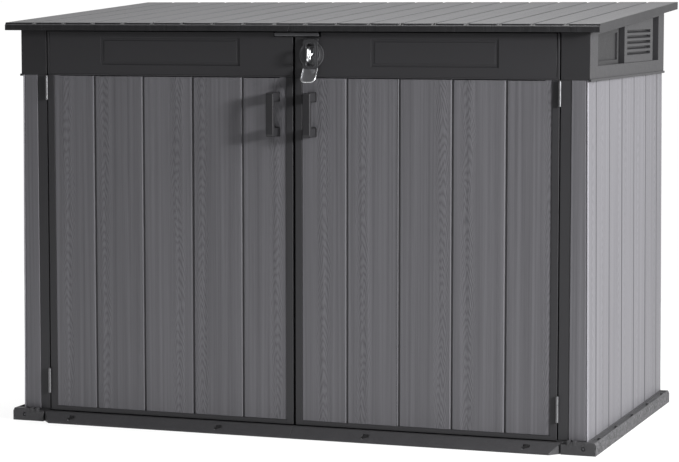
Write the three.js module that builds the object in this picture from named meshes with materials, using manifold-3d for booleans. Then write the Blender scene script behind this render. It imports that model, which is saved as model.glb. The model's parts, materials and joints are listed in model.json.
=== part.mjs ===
// Horizontal garden storage box: a moulded base, ribbed wall panels, two front
// doors and a lift-up roof lid on gas struts, closed by a swivel hasp.
//
// Millimetres, +Z up, +X to the right and the doors facing -Y. The origin is
// at the middle of the footprint, on the ground. The right half is drawn and
// the left half is its mirror image, except for the latch and door details.

import * as THREE from 'three'
import { mergeVertices } from 'three/addons/utils/BufferGeometryUtils.js'
import Module from 'manifold-3d'

const wasm = await Module()
wasm.setup()

// ---------------------------------------------------------------- dimensions

// Roof lid
const LID_WIDTH = 1905
const LID_DEPTH = 1093
const HEIGHT = 1325
const LID_FALL = 65
const LID_SKIN = 5
const RIM_DEPTH = 24
const RIM_WALL = 4
const PLANKS = 19
const PLANK_PITCH = LID_WIDTH / PLANKS
const LID_RIB = 3
const LID_RIB_DEPTH = 21
const RAIL_REAR = -460

// Footprint: the handles reach as far forward as the roof reaches back
const HALF_DEPTH = 554
const LID_REAR = HALF_DEPTH
const LID_FRONT = LID_REAR - LID_DEPTH
const HALF_LID = LID_WIDTH / 2
const FACE = -499.5
const BACK = 514

// Walls and friezes
const WALL_X = 911
const WALL_BATTER = 9
const WALL_SKIN = 4
const WALL_DEPTH = 26
const WALL_GROOVES = [-401, -234, -67, 100, 267]
const FRIEZE_X = 916
const FRIEZE_Z = 1097
const FRIEZE_SKIN = 4
const JAMB_X = 829
const RETURN_X = 861
const REAR_FRIEZE_TOP = 1290
const REAR_GROOVES = [188, 366, 544, 722]
const MID_RIB_Z = 560
const FRIEZE_FLANGE_X = 890

// Sunk panel in the side frieze: its ends, foot, depth and drop below the top
const POCKET_FRONT = -404
const POCKET_REAR = 430
const POCKET_LOW = 1137
const POCKET_DEPTH = 20
const POCKET_DROP = 12

// Base
const BASE_X = 949
const BASE_FRONT = -521.5
const BASE_REAR = 518
const BASE_HEIGHT = 39
const DECK_TOP = 31
const DECK_THICK = 4
const DECK_X = 872
const DECK_REAR = 482
const DECK_LINE_PITCH = 158
const BLOCK_X = 843
const RAMP_TOP = 33
const RAMP_TOE = -546

// Doors
const DOOR_OUTER = 825
const DOOR_INNER = 4
const DOOR_BOTTOM = 36
const DOOR_TOP = 1233
const DOOR_THICK = 26
const STILE = 22
const SILL = 14
const DOOR_GROOVES = [169, 335, 500, 665]
const PANEL_SETBACK = 2
const PANEL_THICK = 5.5
const NOTCH_BOTTOM = 1219
const HINGE_X = 827
const HINGE_Y = FACE - 5
const HINGE_SPANS = [[91, 168], [1020, 1093]]

// Handles
const HANDLE_X = 59
const HANDLE_WIDTH = 24
const HANDLE_Z = [918, 1052]

// Latch
const HASP_X = 57.5
const HASP_WIDTH = 48
const HASP_AXIS_Y = FACE - 6.5
const HASP_AXIS_Z = 1211
const STAPLE_Z = 1166
const KEEPER_X = [-60, 82]

// Lid hinge and gas struts
const LID_HINGE_Y = 534.5
const LID_HINGE_Z = 1296
const LID_HINGE_XS = [-600, -200, 200, 600]
const STRUT_X = 859
const STRUT_FOOT = [447.5, 1080]
const STRUT_HEAD = [367.5, 1275]
const STRUT_TUBE_RADIUS = 9
const STRUT_ROD_RADIUS = 4

const GAP = 0.3
const ROUND_SIDES = 16

// ----------------------------------------------------------------- materials

function plastic(colour, roughness) {
  return new THREE.MeshStandardMaterial({ color: colour, roughness, metalness: 0 })
}

function metal(colour, roughness) {
  return new THREE.MeshStandardMaterial({ color: colour, roughness, metalness: 1 })
}

const charcoal = () => plastic(0x3d3d40, 0.6)
const roofGrey = () => plastic(0x55555a, 0.65)
const plankGrey = () => plastic(0x6e6e73, 0.7)
const steel = () => metal(0xb4b4b8, 0.3)
const darkSteel = () => metal(0x4a4a4e, 0.4)

// ------------------------------------------------------------ solid modelling

// Closed three.js geometry to a solid that can be joined and cut.
function solid(geometry) {
  const bare = geometry.clone()
  bare.deleteAttribute('normal')
  bare.deleteAttribute('uv')
  const merged = mergeVertices(bare, 1e-4)
  return new wasm.Manifold(new wasm.Mesh({
    numProp: 3,
    vertProperties: merged.attributes.position.array,
    triVerts: Uint32Array.from(merged.index.array),
  }))
}

function join(...pieces) {
  return pieces.reduce((whole, piece) => whole.add(piece))
}

function cut(body, ...tools) {
  return tools.reduce((whole, tool) => whole.subtract(tool), body)
}

function block([x0, x1], [y0, y1], [z0, z1]) {
  const box = new THREE.BoxGeometry(x1 - x0, y1 - y0, z1 - z0)
  box.translate((x0 + x1) / 2, (y0 + y1) / 2, (z0 + z1) / 2)
  return solid(box)
}

function outline(points) {
  return new THREE.Shape(points.map(([a, b]) => new THREE.Vector2(a, b)))
}

function extrude(shape, length, curveSegments = 2) {
  return new THREE.ExtrudeGeometry(shape, { depth: length, bevelEnabled: false, curveSegments })
}

// Outline of (y, z) points or shape, drawn out along X.
function alongX(shape, [x0, x1]) {
  const profile = Array.isArray(shape) ? outline(shape) : shape
  const geometry = extrude(profile, x1 - x0)
  const toWorld = new THREE.Matrix4().makeBasis(
    new THREE.Vector3(0, 1, 0), new THREE.Vector3(0, 0, 1), new THREE.Vector3(1, 0, 0))
  geometry.applyMatrix4(toWorld)
  geometry.translate(x0, 0, 0)
  return solid(geometry)
}

// Outline of (x, z) points or shape, drawn out along Y.
function alongY(shape, [y0, y1]) {
  const profile = Array.isArray(shape) ? outline(shape) : shape
  const geometry = extrude(profile, y1 - y0)
  geometry.rotateX(Math.PI / 2)
  geometry.translate(0, y1, 0)
  return solid(geometry)
}

// Outline of (x, y) points or shape, drawn out along Z.
function alongZ(shape, [z0, z1]) {
  const profile = Array.isArray(shape) ? outline(shape) : shape
  const geometry = extrude(profile, z1 - z0)
  geometry.translate(0, 0, z0)
  return solid(geometry)
}

function rod(axis, radius, [from, to], [a, b] = [0, 0], sides = ROUND_SIDES) {
  const geometry = new THREE.CylinderGeometry(radius, radius, to - from, sides)
  const middle = (from + to) / 2
  if (axis === 'x') {
    geometry.rotateZ(-Math.PI / 2)
    geometry.translate(middle, a, b)
  } else if (axis === 'y') {
    geometry.translate(a, middle, b)
  } else {
    geometry.rotateX(Math.PI / 2)
    geometry.translate(a, b, middle)
  }
  return solid(geometry)
}

// Rectangle with round corners, centred, as a shape in the sketch plane.
function roundedRectangle(centreA, centreB, width, height, radius) {
  const shape = new THREE.Shape()
  const left = centreA - width / 2
  const right = centreA + width / 2
  const low = centreB - height / 2
  const high = centreB + height / 2
  shape.moveTo(left + radius, low)
  shape.lineTo(right - radius, low)
  shape.absarc(right - radius, low + radius, radius, -Math.PI / 2, 0)
  shape.lineTo(right, high - radius)
  shape.absarc(right - radius, high - radius, radius, 0, Math.PI / 2)
  shape.lineTo(left + radius, high)
  shape.absarc(left + radius, high - radius, radius, Math.PI / 2, Math.PI)
  shape.lineTo(left, low + radius)
  shape.absarc(left + radius, low + radius, radius, Math.PI, 1.5 * Math.PI)
  return shape
}

function toGeometry(body) {
  const { vertProperties, triVerts, numProp } = body.getMesh()
  const positions = new Float32Array(vertProperties.length / numProp * 3)
  for (let i = 0; i < positions.length / 3; i += 1) {
    for (let k = 0; k < 3; k += 1) {
      positions[3 * i + k] = vertProperties[numProp * i + k]
    }
  }
  const geometry = new THREE.BufferGeometry()
  geometry.setAttribute('position', new THREE.BufferAttribute(positions, 3))
  geometry.setIndex(new THREE.BufferAttribute(Uint32Array.from(triVerts), 1))
  geometry.computeVertexNormals()
  return geometry
}

// Mirror image of a geometry across the middle plane X = 0.
function mirrored(geometry) {
  const copy = geometry.clone()
  copy.scale(-1, 1, 1)
  const index = copy.index.array
  for (let i = 0; i < index.length; i += 3) {
    const first = index[i]
    index[i] = index[i + 1]
    index[i + 1] = first
  }
  return copy
}

function part(name, body, material) {
  const mesh = new THREE.Mesh(toGeometry(body), material)
  mesh.name = name
  return mesh
}

// The right-hand part and its mirror image, in one group.
function pair(name, body, makeMaterial) {
  const group = new THREE.Group()
  const right = part(`${name}_right`, body, makeMaterial())
  const left = new THREE.Mesh(mirrored(right.geometry), makeMaterial())
  left.name = `${name}_left`
  group.add(right, left)
  return group
}

// ------------------------------------------------------- the sloping roof line

function lidTop(y) {
  return HEIGHT - LID_FALL * (LID_REAR - y) / LID_DEPTH
}

// Slab parallel to the roof, between two depths measured down from its top.
function slopedBlock([x0, x1], [y0, y1], [d0, d1]) {
  return alongX([
    [y0, lidTop(y0) - d1],
    [y1, lidTop(y1) - d1],
    [y1, lidTop(y1) - d0],
    [y0, lidTop(y0) - d0],
  ], [x0, x1])
}

// The walls' friezes stop just under the lid's rim.
function friezeTop(y) {
  return lidTop(y) - RIM_DEPTH - 3
}

// ---------------------------------------------------------------------- base

function floorHalf() {
  let body = block([GAP / 2, BASE_X], [BASE_FRONT, BASE_REAR], [0, BASE_HEIGHT])
  const ramp = block([-1, BLOCK_X], [BASE_FRONT - 1, FACE + 4], [-1, BASE_HEIGHT + 1])
  const pocket = block([-1, DECK_X], [FACE - 30, DECK_REAR], [DECK_TOP, BASE_HEIGHT + 1])
  const jambSeat = block([JAMB_X - 4, DECK_X + 1], [BASE_FRONT - 1, FACE + 34], [DECK_TOP - 1, BASE_HEIGHT])
  body = cut(body, ramp, pocket)
  body = join(body, jambSeat.intersect(block([0, BASE_X], [FACE + 4, BACK], [0, BASE_HEIGHT])))

  // Hollow underside, left as a grid of ribs
  const columns = 3
  const rows = 3
  const left = GAP / 2 + 4
  const right = BASE_X - 4
  const front = FACE + 8
  const rear = BASE_REAR - 4
  const cellWidth = (right - left + 3) / columns
  const cellDepth = (rear - front + 3) / rows
  for (let column = 0; column < columns; column += 1) {
    for (let row = 0; row < rows; row += 1) {
      const x = left + column * cellWidth
      const y = front + row * cellDepth
      const cell = block([x, x + cellWidth - 3], [y, y + cellDepth - 3], [-1, DECK_TOP - DECK_THICK])
      body = cut(body, cell)
    }
  }

  // Shallow board lines in the deck
  for (let x = DECK_LINE_PITCH; x < DECK_X; x += DECK_LINE_PITCH) {
    body = cut(body, block([x - 3, x + 3], [FACE, DECK_REAR - 1], [DECK_TOP - 1.5, DECK_TOP + 1]))
  }

  // Sloping skirt edge, channel beside the wall, and the hooks that hold the wall
  const skirt = alongY([
    [BASE_X - 5, BASE_HEIGHT + 1],
    [BASE_X + 1, BASE_HEIGHT + 1],
    [BASE_X + 1, BASE_HEIGHT - 12],
  ], [BASE_FRONT - 1, BASE_REAR + 1])
  const channel = block(
    [WALL_X + 12, BASE_X - 7], [BASE_FRONT + 22, BACK - 20], [BASE_HEIGHT - 5, BASE_HEIGHT + 1])
  body = cut(body, skirt, channel)
  for (let y = -440; y < 480; y += 220) {
    body = join(body, block([BASE_X - 15, BASE_X - 5], [y, y + 9], [BASE_HEIGHT - 6, BASE_HEIGHT + 3]))
  }

  // Screw recesses in the front corner and on the rear ledge
  const frontRecess = rod('y', 6.5, [BASE_FRONT - 1, BASE_FRONT + 4], [910, 20])
  const rearRecess = rod('z', 5.5, [BASE_HEIGHT - 4, BASE_HEIGHT + 1], [938, 500])
  return cut(body, frontRecess, rearRecess)
}

function threshold() {
  const profile = [
    [RAMP_TOE, 0],
    [FACE + 3.5, 0],
    [FACE + 3.5, RAMP_TOP],
    [FACE - 14, RAMP_TOP],
    [RAMP_TOE, 5],
  ]
  const hollow = [
    [RAMP_TOE + 9, -1],
    [FACE - 0.5, -1],
    [FACE - 0.5, RAMP_TOP - 4],
    [FACE - 12, RAMP_TOP - 4],
    [RAMP_TOE + 9, 5],
  ]
  let body = alongX(profile, [GAP / 2, BLOCK_X - GAP])
  const bays = 4
  const bayWidth = (BLOCK_X - 40) / bays
  for (let bay = 0; bay < bays; bay += 1) {
    body = cut(body, alongX(hollow, [bay * bayWidth + 4, (bay + 1) * bayWidth]))
  }

  // The end of the ramp is splayed back to the corner block
  const splay = alongZ([
    [BLOCK_X - 30, RAMP_TOE - 1],
    [BLOCK_X + 10, RAMP_TOE - 1],
    [BLOCK_X + 10, FACE],
  ], [-1, RAMP_TOP + 1])
  body = cut(body, splay)

  // Screw slots in the slope
  for (const x of [240, 740]) {
    const slot = alongY(roundedRectangle(x, 20, 24, 9, 4.4), [RAMP_TOE - 1, FACE - 4])
    body = cut(body, slot)
  }
  return body
}

// --------------------------------------------------------------------- walls

// How far a wall's outer face stands out at a height: it leans in toward the top.
function batter(z) {
  return WALL_BATTER * (FRIEZE_Z - z) / (FRIEZE_Z - BASE_HEIGHT)
}

// The solid with everything beyond a place on X leaned outward by the batter.
function lean(body, beyondX) {
  return body.warp((point) => {
    if (point[0] > beyondX) {
      point[0] += batter(point[2])
    }
  })
}

function sideWall() {
  const low = BASE_HEIGHT + GAP
  const high = FRIEZE_Z
  const inner = WALL_X - WALL_DEPTH
  const skinInside = WALL_X - WALL_SKIN
  let body = block([skinInside, WALL_X], [FACE, BACK], [low, high])
  const frontReturn = block([RETURN_X, WALL_X], [FACE, FACE + WALL_SKIN], [low, high])
  const returnFlange = block([RETURN_X, RETURN_X + 4], [FACE, FACE + 34], [low, high])
  body = join(body, frontReturn, returnFlange)
  for (const z of [low, MID_RIB_Z, high - 4]) {
    body = join(body, block([inner, WALL_X - 1], [FACE + 1, BACK - 32], [z, z + 4]))
  }
  for (const y of WALL_GROOVES) {
    body = join(body, block([inner + 5, WALL_X - 1], [y - 1.5, y + 1.5], [low + 1, high - 1]))
    body = cut(body, block([WALL_X - 2, WALL_X + 1], [y - 3.5, y + 3.5], [low - 1, high + 1]))
  }
  return lean(body, RETURN_X + 5)
}

// Frieze over the side wall, turning the front corner, with a sunk panel.
function sideFrieze() {
  const x0 = FRIEZE_X - FRIEZE_SKIN
  const wallTop = FRIEZE_Z + GAP
  const sideProfile = (y0, y1, low, drop = 0) => [
    [y0, low],
    [y1, low],
    [y1, friezeTop(y1) - drop],
    [y0, friezeTop(y0) - drop],
  ]
  let body = alongX(sideProfile(FACE, BACK, wallTop), [x0, FRIEZE_X])

  // Front return beside the door, and the stiffening flanges inside
  const frontReturn = block([JAMB_X, FRIEZE_X], [FACE, FACE + FRIEZE_SKIN], [wallTop, friezeTop(FACE)])
  const frontFlange = block([JAMB_X, JAMB_X + 4], [FACE, FACE + 34], [wallTop, friezeTop(FACE)])
  const foot = block([FRIEZE_FLANGE_X, FRIEZE_X], [FACE, BACK - 32], [wallTop, wallTop + 4])
  const head = cut(
    alongX(sideProfile(FACE, BACK - 32, wallTop), [FRIEZE_FLANGE_X, FRIEZE_X]),
    alongX(sideProfile(FACE - 1, BACK, wallTop - 1, 4), [FRIEZE_FLANGE_X - 1, FRIEZE_X + 1]))
  const drip = block([x0, FRIEZE_X + 4], [FACE - 3, BACK], [FRIEZE_Z - 4, FRIEZE_Z + 3])
  const dripTrim = block([x0 - 20, WALL_X + GAP], [FACE - 5, BACK + 1], [FRIEZE_Z - 5, wallTop])
  body = join(body, frontReturn, frontFlange, foot, head, cut(drip, dripTrim))

  // Sunk panel: a pocket with the plain pane standing in its front part
  const pocket = sideProfile(POCKET_FRONT, POCKET_REAR, POCKET_LOW, POCKET_DROP)
  const pocketShell = sideProfile(POCKET_FRONT - 4, POCKET_REAR + 4, POCKET_LOW - 4, POCKET_DROP - 4)
  const shell = alongX(pocketShell, [FRIEZE_X - POCKET_DEPTH - 3, FRIEZE_X - 1])
  const opening = alongX(pocket, [FRIEZE_X - POCKET_DEPTH, FRIEZE_X + 1])
  const paneRear = -110
  const pane = cut(
    alongX(
      sideProfile(POCKET_FRONT, paneRear, POCKET_LOW, POCKET_DROP),
      [FRIEZE_X - POCKET_DEPTH - 1, FRIEZE_X - 8]),
    alongX(
      sideProfile(POCKET_FRONT + 14, paneRear - 14, POCKET_LOW + 13, POCKET_DROP + 14),
      [FRIEZE_X - 14, FRIEZE_X]))
  body = join(body, shell)
  body = cut(body, opening)
  return join(body, pane)
}

// Slatted vent standing in the rear part of the frieze's pocket.
function ventLouvre() {
  const y0 = -51.5
  const y1 = 351.5
  const low = POCKET_LOW + GAP
  const inside = FRIEZE_X - POCKET_DEPTH + GAP
  const face = FRIEZE_X - 2
  let body = alongX([
    [y0, low],
    [y1, low],
    [y1, friezeTop(y1) - POCKET_DROP - GAP],
    [y0, friezeTop(y0) - POCKET_DROP - GAP],
  ], [inside, face])
  const slots = 5
  for (let i = 0; i < slots; i += 1) {
    const z = 1160 + 17 * i
    const slot = alongY([
      [face + 1, z],
      [face + 1, z + 9],
      [face - 12, z + 13],
      [face - 12, z + 5],
    ], [y0 + 36, y1 - 36])
    body = cut(body, slot)
  }
  return body
}

// Dark upright beside the door, with a stop for the door to close against.
function doorJamb() {
  const low = BASE_HEIGHT + GAP
  const high = FRIEZE_Z
  const front = block([JAMB_X, RETURN_X - GAP], [FACE + 1.5, FACE + 4.5], [low, high])
  const hingeSide = block([JAMB_X, JAMB_X + 3], [FACE + 1.5, FACE + 34], [low, high])
  const wallSide = block([RETURN_X - GAP - 3, RETURN_X - GAP], [FACE + 1.5, FACE + 34], [low, high])
  const back = block([JAMB_X - 20, RETURN_X - GAP], [FACE + 30, FACE + 34], [low, high])
  return join(front, hingeSide, wallSide, back)
}

function rearWallHalf() {
  const low = BASE_HEIGHT + GAP
  const high = FRIEZE_Z
  const outer = WALL_X - WALL_SKIN - GAP
  let body = block([GAP / 2, outer], [BACK - WALL_SKIN, BACK], [low, high])
  for (const z of [low, MID_RIB_Z, high - 4]) {
    body = join(body, block([GAP / 2, outer], [BACK - WALL_DEPTH, BACK - 1], [z, z + 4]))
  }
  for (const x of [4, ...REAR_GROOVES, outer - 4]) {
    body = join(body, block([x - 1.5, x + 1.5], [BACK - WALL_DEPTH + 5, BACK - 1], [low + 1, high - 1]))
  }
  for (const x of REAR_GROOVES) {
    body = cut(body, block([x - 3.5, x + 3.5], [BACK - 2, BACK + 1], [low - 1, high + 1]))
  }
  return lean(body, outer - 6)
}

function rearFrieze() {
  const outer = FRIEZE_X - FRIEZE_SKIN - GAP
  const low = FRIEZE_Z + GAP
  const skin = block([-outer, outer], [BACK - FRIEZE_SKIN, BACK], [low, REAR_FRIEZE_TOP])
  const foot = block([-WALL_X + 31, WALL_X - 31], [BACK - WALL_DEPTH, BACK - 1], [low, low + 4])
  const head = block(
    [-WALL_X + 31, WALL_X - 31], [BACK - WALL_DEPTH, BACK - 1], [REAR_FRIEZE_TOP - 4, REAR_FRIEZE_TOP])
  let body = join(skin, foot, head)
  for (const x of LID_HINGE_XS) {
    const rib = block([x - 2, x + 2], [BACK - WALL_DEPTH + 5, BACK - 1], [low + 1, REAR_FRIEZE_TOP - 1])
    body = join(body, rib)
  }
  return body
}

// ------------------------------------------------------------------ roof lid

function lidHalf() {
  const inFront = LID_FRONT + RIM_WALL
  const inRear = LID_REAR - RIM_WALL
  const inSide = HALF_LID - RIM_WALL
  let body = slopedBlock([GAP / 2, HALF_LID], [LID_FRONT, LID_REAR], [0, RIM_DEPTH])
  body = cut(body, slopedBlock([4.2, inSide], [inFront, inRear], [LID_SKIN, 40]))
  body = cut(body, slopedBlock([-1, 5], [inFront, RAIL_REAR + 2], [LID_SKIN, 40]))
  body = cut(body, slopedBlock([-1, 5], [LID_FRONT - 1, LID_REAR + 1], [20, 40]))

  // Ribs under the skin, clear of the rails
  for (const x of [110, 410, 710]) {
    const rib = slopedBlock([x, x + LID_RIB], [RAIL_REAR + 4, inRear + 1], [LID_SKIN - 1, LID_RIB_DEPTH])
    body = join(body, rib)
  }
  for (const y of [-150, 150]) {
    const rib = slopedBlock([31, inSide + 1], [y, y + LID_RIB], [LID_SKIN - 1, LID_RIB_DEPTH - 4])
    body = join(body, rib)
  }

  // Board lines
  for (let i = 0.5; i < PLANKS / 2; i += 1) {
    const x = i * PLANK_PITCH
    body = cut(body, slopedBlock([x - 3, x + 3], [LID_FRONT - 1, LID_REAR + 1], [-1, 2.2]))
  }

  // Moulded hinge barrels
  for (const x of LID_HINGE_XS.filter((hinge) => hinge > 0)) {
    const barrel = rod('x', 8, [x - 13, x + 13], [LID_HINGE_Y, LID_HINGE_Z])
    const armTop = lidTop(LID_HINGE_Y) - 4
    const arm = block([x - 13, x + 13], [LID_HINGE_Y - 6, LID_HINGE_Y + 6], [LID_HINGE_Z, armTop])
    const bore = rod('x', 3.4, [x - 14, x + 14], [LID_HINGE_Y, LID_HINGE_Z])
    body = cut(join(body, barrel, arm), bore)
  }
  return body
}

function lidSeamRail() {
  const rail = slopedBlock([-30, 30], [RAIL_REAR + 5, 505], [LID_SKIN + GAP, 23])
  const slot = slopedBlock([-4.6, 4.6], [RAIL_REAR + 4, 506], [LID_SKIN, 21])
  return cut(rail, slot)
}

function lidFrontRail() {
  const rail = slopedBlock([-870, 870], [FACE + 4.8, RAIL_REAR], [LID_SKIN + GAP, 22])
  const hollow = slopedBlock([-867, 867], [FACE + 7.8, RAIL_REAR + 1], [LID_SKIN + 3, 19])
  return cut(rail, hollow)
}

// Keeper plate on the lid's front rail; its bar lies in the notch in the doors.
function lidKeeper() {
  const bar = block(KEEPER_X, [FACE - 8, FACE + 2], [1221, 1232])
  const plate = block(KEEPER_X, [FACE + 1.5, FACE + 4.5], [1221, 1255])
  return join(bar, plate)
}

function lidHingeBracket() {
  const plateFront = BACK + GAP
  let body = block([-30, 30], [plateFront, plateFront + 4], [1246, 1288])
  for (const x of [-28, 14]) {
    const cheek = alongX([
      [plateFront + 3, 1248],
      [plateFront + 3, 1286],
      [LID_HINGE_Y, LID_HINGE_Z + 4],
      [LID_HINGE_Y + 6, LID_HINGE_Z - 4],
      [plateFront + 9, 1250],
    ], [x, x + 14])
    const knuckle = rod('x', 8, [x, x + 14], [LID_HINGE_Y, LID_HINGE_Z])
    body = join(body, cheek, knuckle)
  }
  return cut(body, rod('x', 3.4, [-31, 31], [LID_HINGE_Y, LID_HINGE_Z]))
}

// -------------------------------------------------------------- gas struts

const strutRun = new THREE.Vector2(...STRUT_HEAD).sub(new THREE.Vector2(...STRUT_FOOT))
const strutLength = strutRun.length()
const strutLean = Math.atan2(-strutRun.x, strutRun.y)

// The tube and rod are drawn standing on the foot pivot, then leaned forward.
function strutTube() {
  const eye = rod('x', 10, [STRUT_X - 4, STRUT_X + 4])
  const tube = rod('z', STRUT_TUBE_RADIUS, [8, strutLength - 19], [STRUT_X, 0])
  const bore = rod('z', STRUT_ROD_RADIUS + 0.3, [17, strutLength], [STRUT_X, 0])
  const pivot = rod('x', 5.4, [STRUT_X - 6, STRUT_X + 6])
  return cut(join(eye, tube), bore, pivot)
}

function strutRod() {
  const stem = rod('z', STRUT_ROD_RADIUS, [20, strutLength - 6], [STRUT_X, 0])
  const socket = rod('x', 9, [STRUT_X - 4, STRUT_X + 4], [0, strutLength])
  return join(stem, socket)
}

function strutWallBracket() {
  const [y, z] = STRUT_FOOT
  const plate = block([STRUT_X + 21.5, STRUT_X + 25.7], [y - 28, y + 28], [z - 32, z + 12])
  const stud = rod('x', 5, [STRUT_X - 5, STRUT_X + 22], [y, z])
  return join(plate, stud)
}

function strutLidBracket() {
  const [y, z] = STRUT_HEAD
  const x0 = STRUT_X + 10
  const x1 = STRUT_X + 14
  const ear = alongX([
    [y - 8, z - 8],
    [y + 8, z - 8],
    [y + 22, lidTop(y + 22) - LID_SKIN - GAP],
    [y - 22, lidTop(y - 22) - LID_SKIN - GAP],
  ], [x0, x1])
  const flange = slopedBlock([x0 - 24, x1], [y - 22, y + 22], [LID_SKIN + GAP, LID_SKIN + GAP + 3])
  const stud = rod('x', 4.5, [STRUT_X + 4.8, x0 + 1], [y, z])
  return join(ear, flange, stud)
}

// --------------------------------------------------------------------- doors

function doorFrame() {
  const depth = [FACE, FACE + DOOR_THICK]
  const low = DOOR_BOTTOM
  const high = FRIEZE_Z
  let body = join(
    block([DOOR_INNER, DOOR_INNER + STILE], depth, [low, high]),
    block([DOOR_OUTER - STILE, DOOR_OUTER], depth, [low, high]),
    block([DOOR_INNER, DOOR_OUTER], depth, [low, low + SILL]))
  for (const z of [350, 700, high - 27]) {
    const brace = block([DOOR_INNER, DOOR_OUTER], [FACE + 8, FACE + DOOR_THICK], [z, z + 27])
    body = join(body, brace)
  }
  return body
}

function doorPanel() {
  const front = FACE + PANEL_SETBACK
  const x = [DOOR_INNER + STILE + GAP, DOOR_OUTER - STILE - GAP]
  const z = [DOOR_BOTTOM + SILL + GAP, FRIEZE_Z]
  let body = block(x, [front, front + PANEL_THICK], z)
  for (const groove of DOOR_GROOVES) {
    body = cut(body, block([groove - 3.5, groove + 3.5], [front - 1, front + 2.2], [z[0] - 1, z[1] + 1]))
  }
  return body
}

// Top panel of a door, with a sunk moulding and a notch for the keeper bar.
function doorFrieze(mouldingX, notchWidth) {
  const x = [DOOR_INNER, DOOR_OUTER]
  const z = [FRIEZE_Z + GAP, DOOR_TOP]
  const skin = 6
  let body = block(x, [FACE, FACE + DOOR_THICK], z)
  const notch = block([0, notchWidth], [FACE - 1, FACE + 40], [NOTCH_BOTTOM, DOOR_TOP + 1])
  const inside = block([x[0] + 4, x[1] - 4], [FACE + skin, FACE + 40], [z[0] + 4, z[1] - 4])
  const notchSkin = block([0, notchWidth + 4], [FACE, FACE + 41], [NOTCH_BOTTOM - 4, DOOR_TOP])
  const groove = block(mouldingX, [FACE - 1, FACE + 3], [1131, 1214])
  const plateau = block(
    [mouldingX[0] + 11, mouldingX[1] - 11], [FACE + 1.2, FACE + 4], [1141.5, 1205])
  body = cut(body, notch, cut(inside, notchSkin), groove)
  return join(body, plateau)
}

function doorHandle() {
  const [low, high] = HANDLE_Z
  const foot = FACE - GAP
  const front = -HALF_DEPTH
  const width = [HANDLE_X - HANDLE_WIDTH / 2, HANDLE_X + HANDLE_WIDTH / 2]
  const grip = new THREE.Shape()
  grip.moveTo(foot, low)
  grip.lineTo(foot, high)
  grip.lineTo(front + 7, high)
  grip.absarc(front + 7, high - 7, 7, Math.PI / 2, Math.PI)
  grip.lineTo(front, low + 7)
  grip.absarc(front + 7, low + 7, 7, Math.PI, 1.5 * Math.PI)
  const fingers = roundedRectangle((front + 14 + foot + 20) / 2, (low + high) / 2, foot + 6 - front, 82, 5)
  let body = cut(alongX(grip, width), alongX(fingers, [width[0] - 1, width[1] + 1]))
  for (const z of [[low - 1, low + 29], [high - 29, high + 1]]) {
    body = join(body, block([width[0] - 3, width[1] + 3], [foot - 3, foot], z))
  }
  return body
}

// One door hinge: three knuckles on a pin, its leaves in the gap by the jamb.
function doorHinge([low, high]) {
  const third = (high - low) / 3
  const barrel = (z0, z1) => rod('z', 4.5, [z0, z1], [HINGE_X, HINGE_Y])
  const bore = rod('z', 2.4, [low - 1, high + 1], [HINGE_X, HINGE_Y])
  const tab = (x, z) => block(x, [HINGE_Y, FACE + 2], z)
  const leaf = (x) => block(x, [FACE + 0.6, FACE + 24], [low, high])
  const fixedX = [HINGE_X + 0.6, HINGE_X + 1.8]
  const movingX = [HINGE_X - 1.8, HINGE_X - 0.6]
  const fixed = cut(join(
    barrel(low, low + third - GAP),
    barrel(high - third + GAP, high),
    tab(fixedX, [low, low + third - GAP]),
    tab(fixedX, [high - third + GAP, high]),
    leaf(fixedX)), bore)
  const moving = cut(join(
    barrel(low + third + GAP, high - third - GAP),
    tab(movingX, [low + third + GAP, high - third - GAP]),
    leaf(movingX)), bore)
  const pin = join(
    rod('z', 2, [low - 1, high + 2], [HINGE_X, HINGE_Y]),
    rod('z', 3.6, [high + 0.4, high + 2.4], [HINGE_X, HINGE_Y]))
  return { fixed, moving, pin }
}

// --------------------------------------------------------------------- latch

function haspLeaf() {
  const width = [HASP_X - 21.5, HASP_X + 21.5]
  const leaf = block(width, [FACE - 2.3, FACE - GAP], [1195.5, 1215])
  const knuckle = (x) => join(
    rod('x', 4.2, x, [HASP_AXIS_Y, HASP_AXIS_Z]),
    block(x, [HASP_AXIS_Y, FACE - 1.5], [HASP_AXIS_Z - 2, HASP_AXIS_Z + 2]))
  const body = join(leaf, knuckle([width[0], HASP_X - 10.5]), knuckle([HASP_X + 10.5, width[1]]))
  return cut(body, rod('x', 1.9, [width[0] - 1, width[1] + 1], [HASP_AXIS_Y, HASP_AXIS_Z]))
}

function haspPin() {
  const end = HASP_X + 23
  const stem = rod('x', 1.5, [HASP_X - 22.5, end], [HASP_AXIS_Y, HASP_AXIS_Z])
  const head = rod('x', 2.8, [end - 1, end + 1], [HASP_AXIS_Y, HASP_AXIS_Z])
  return join(stem, head)
}

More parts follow.
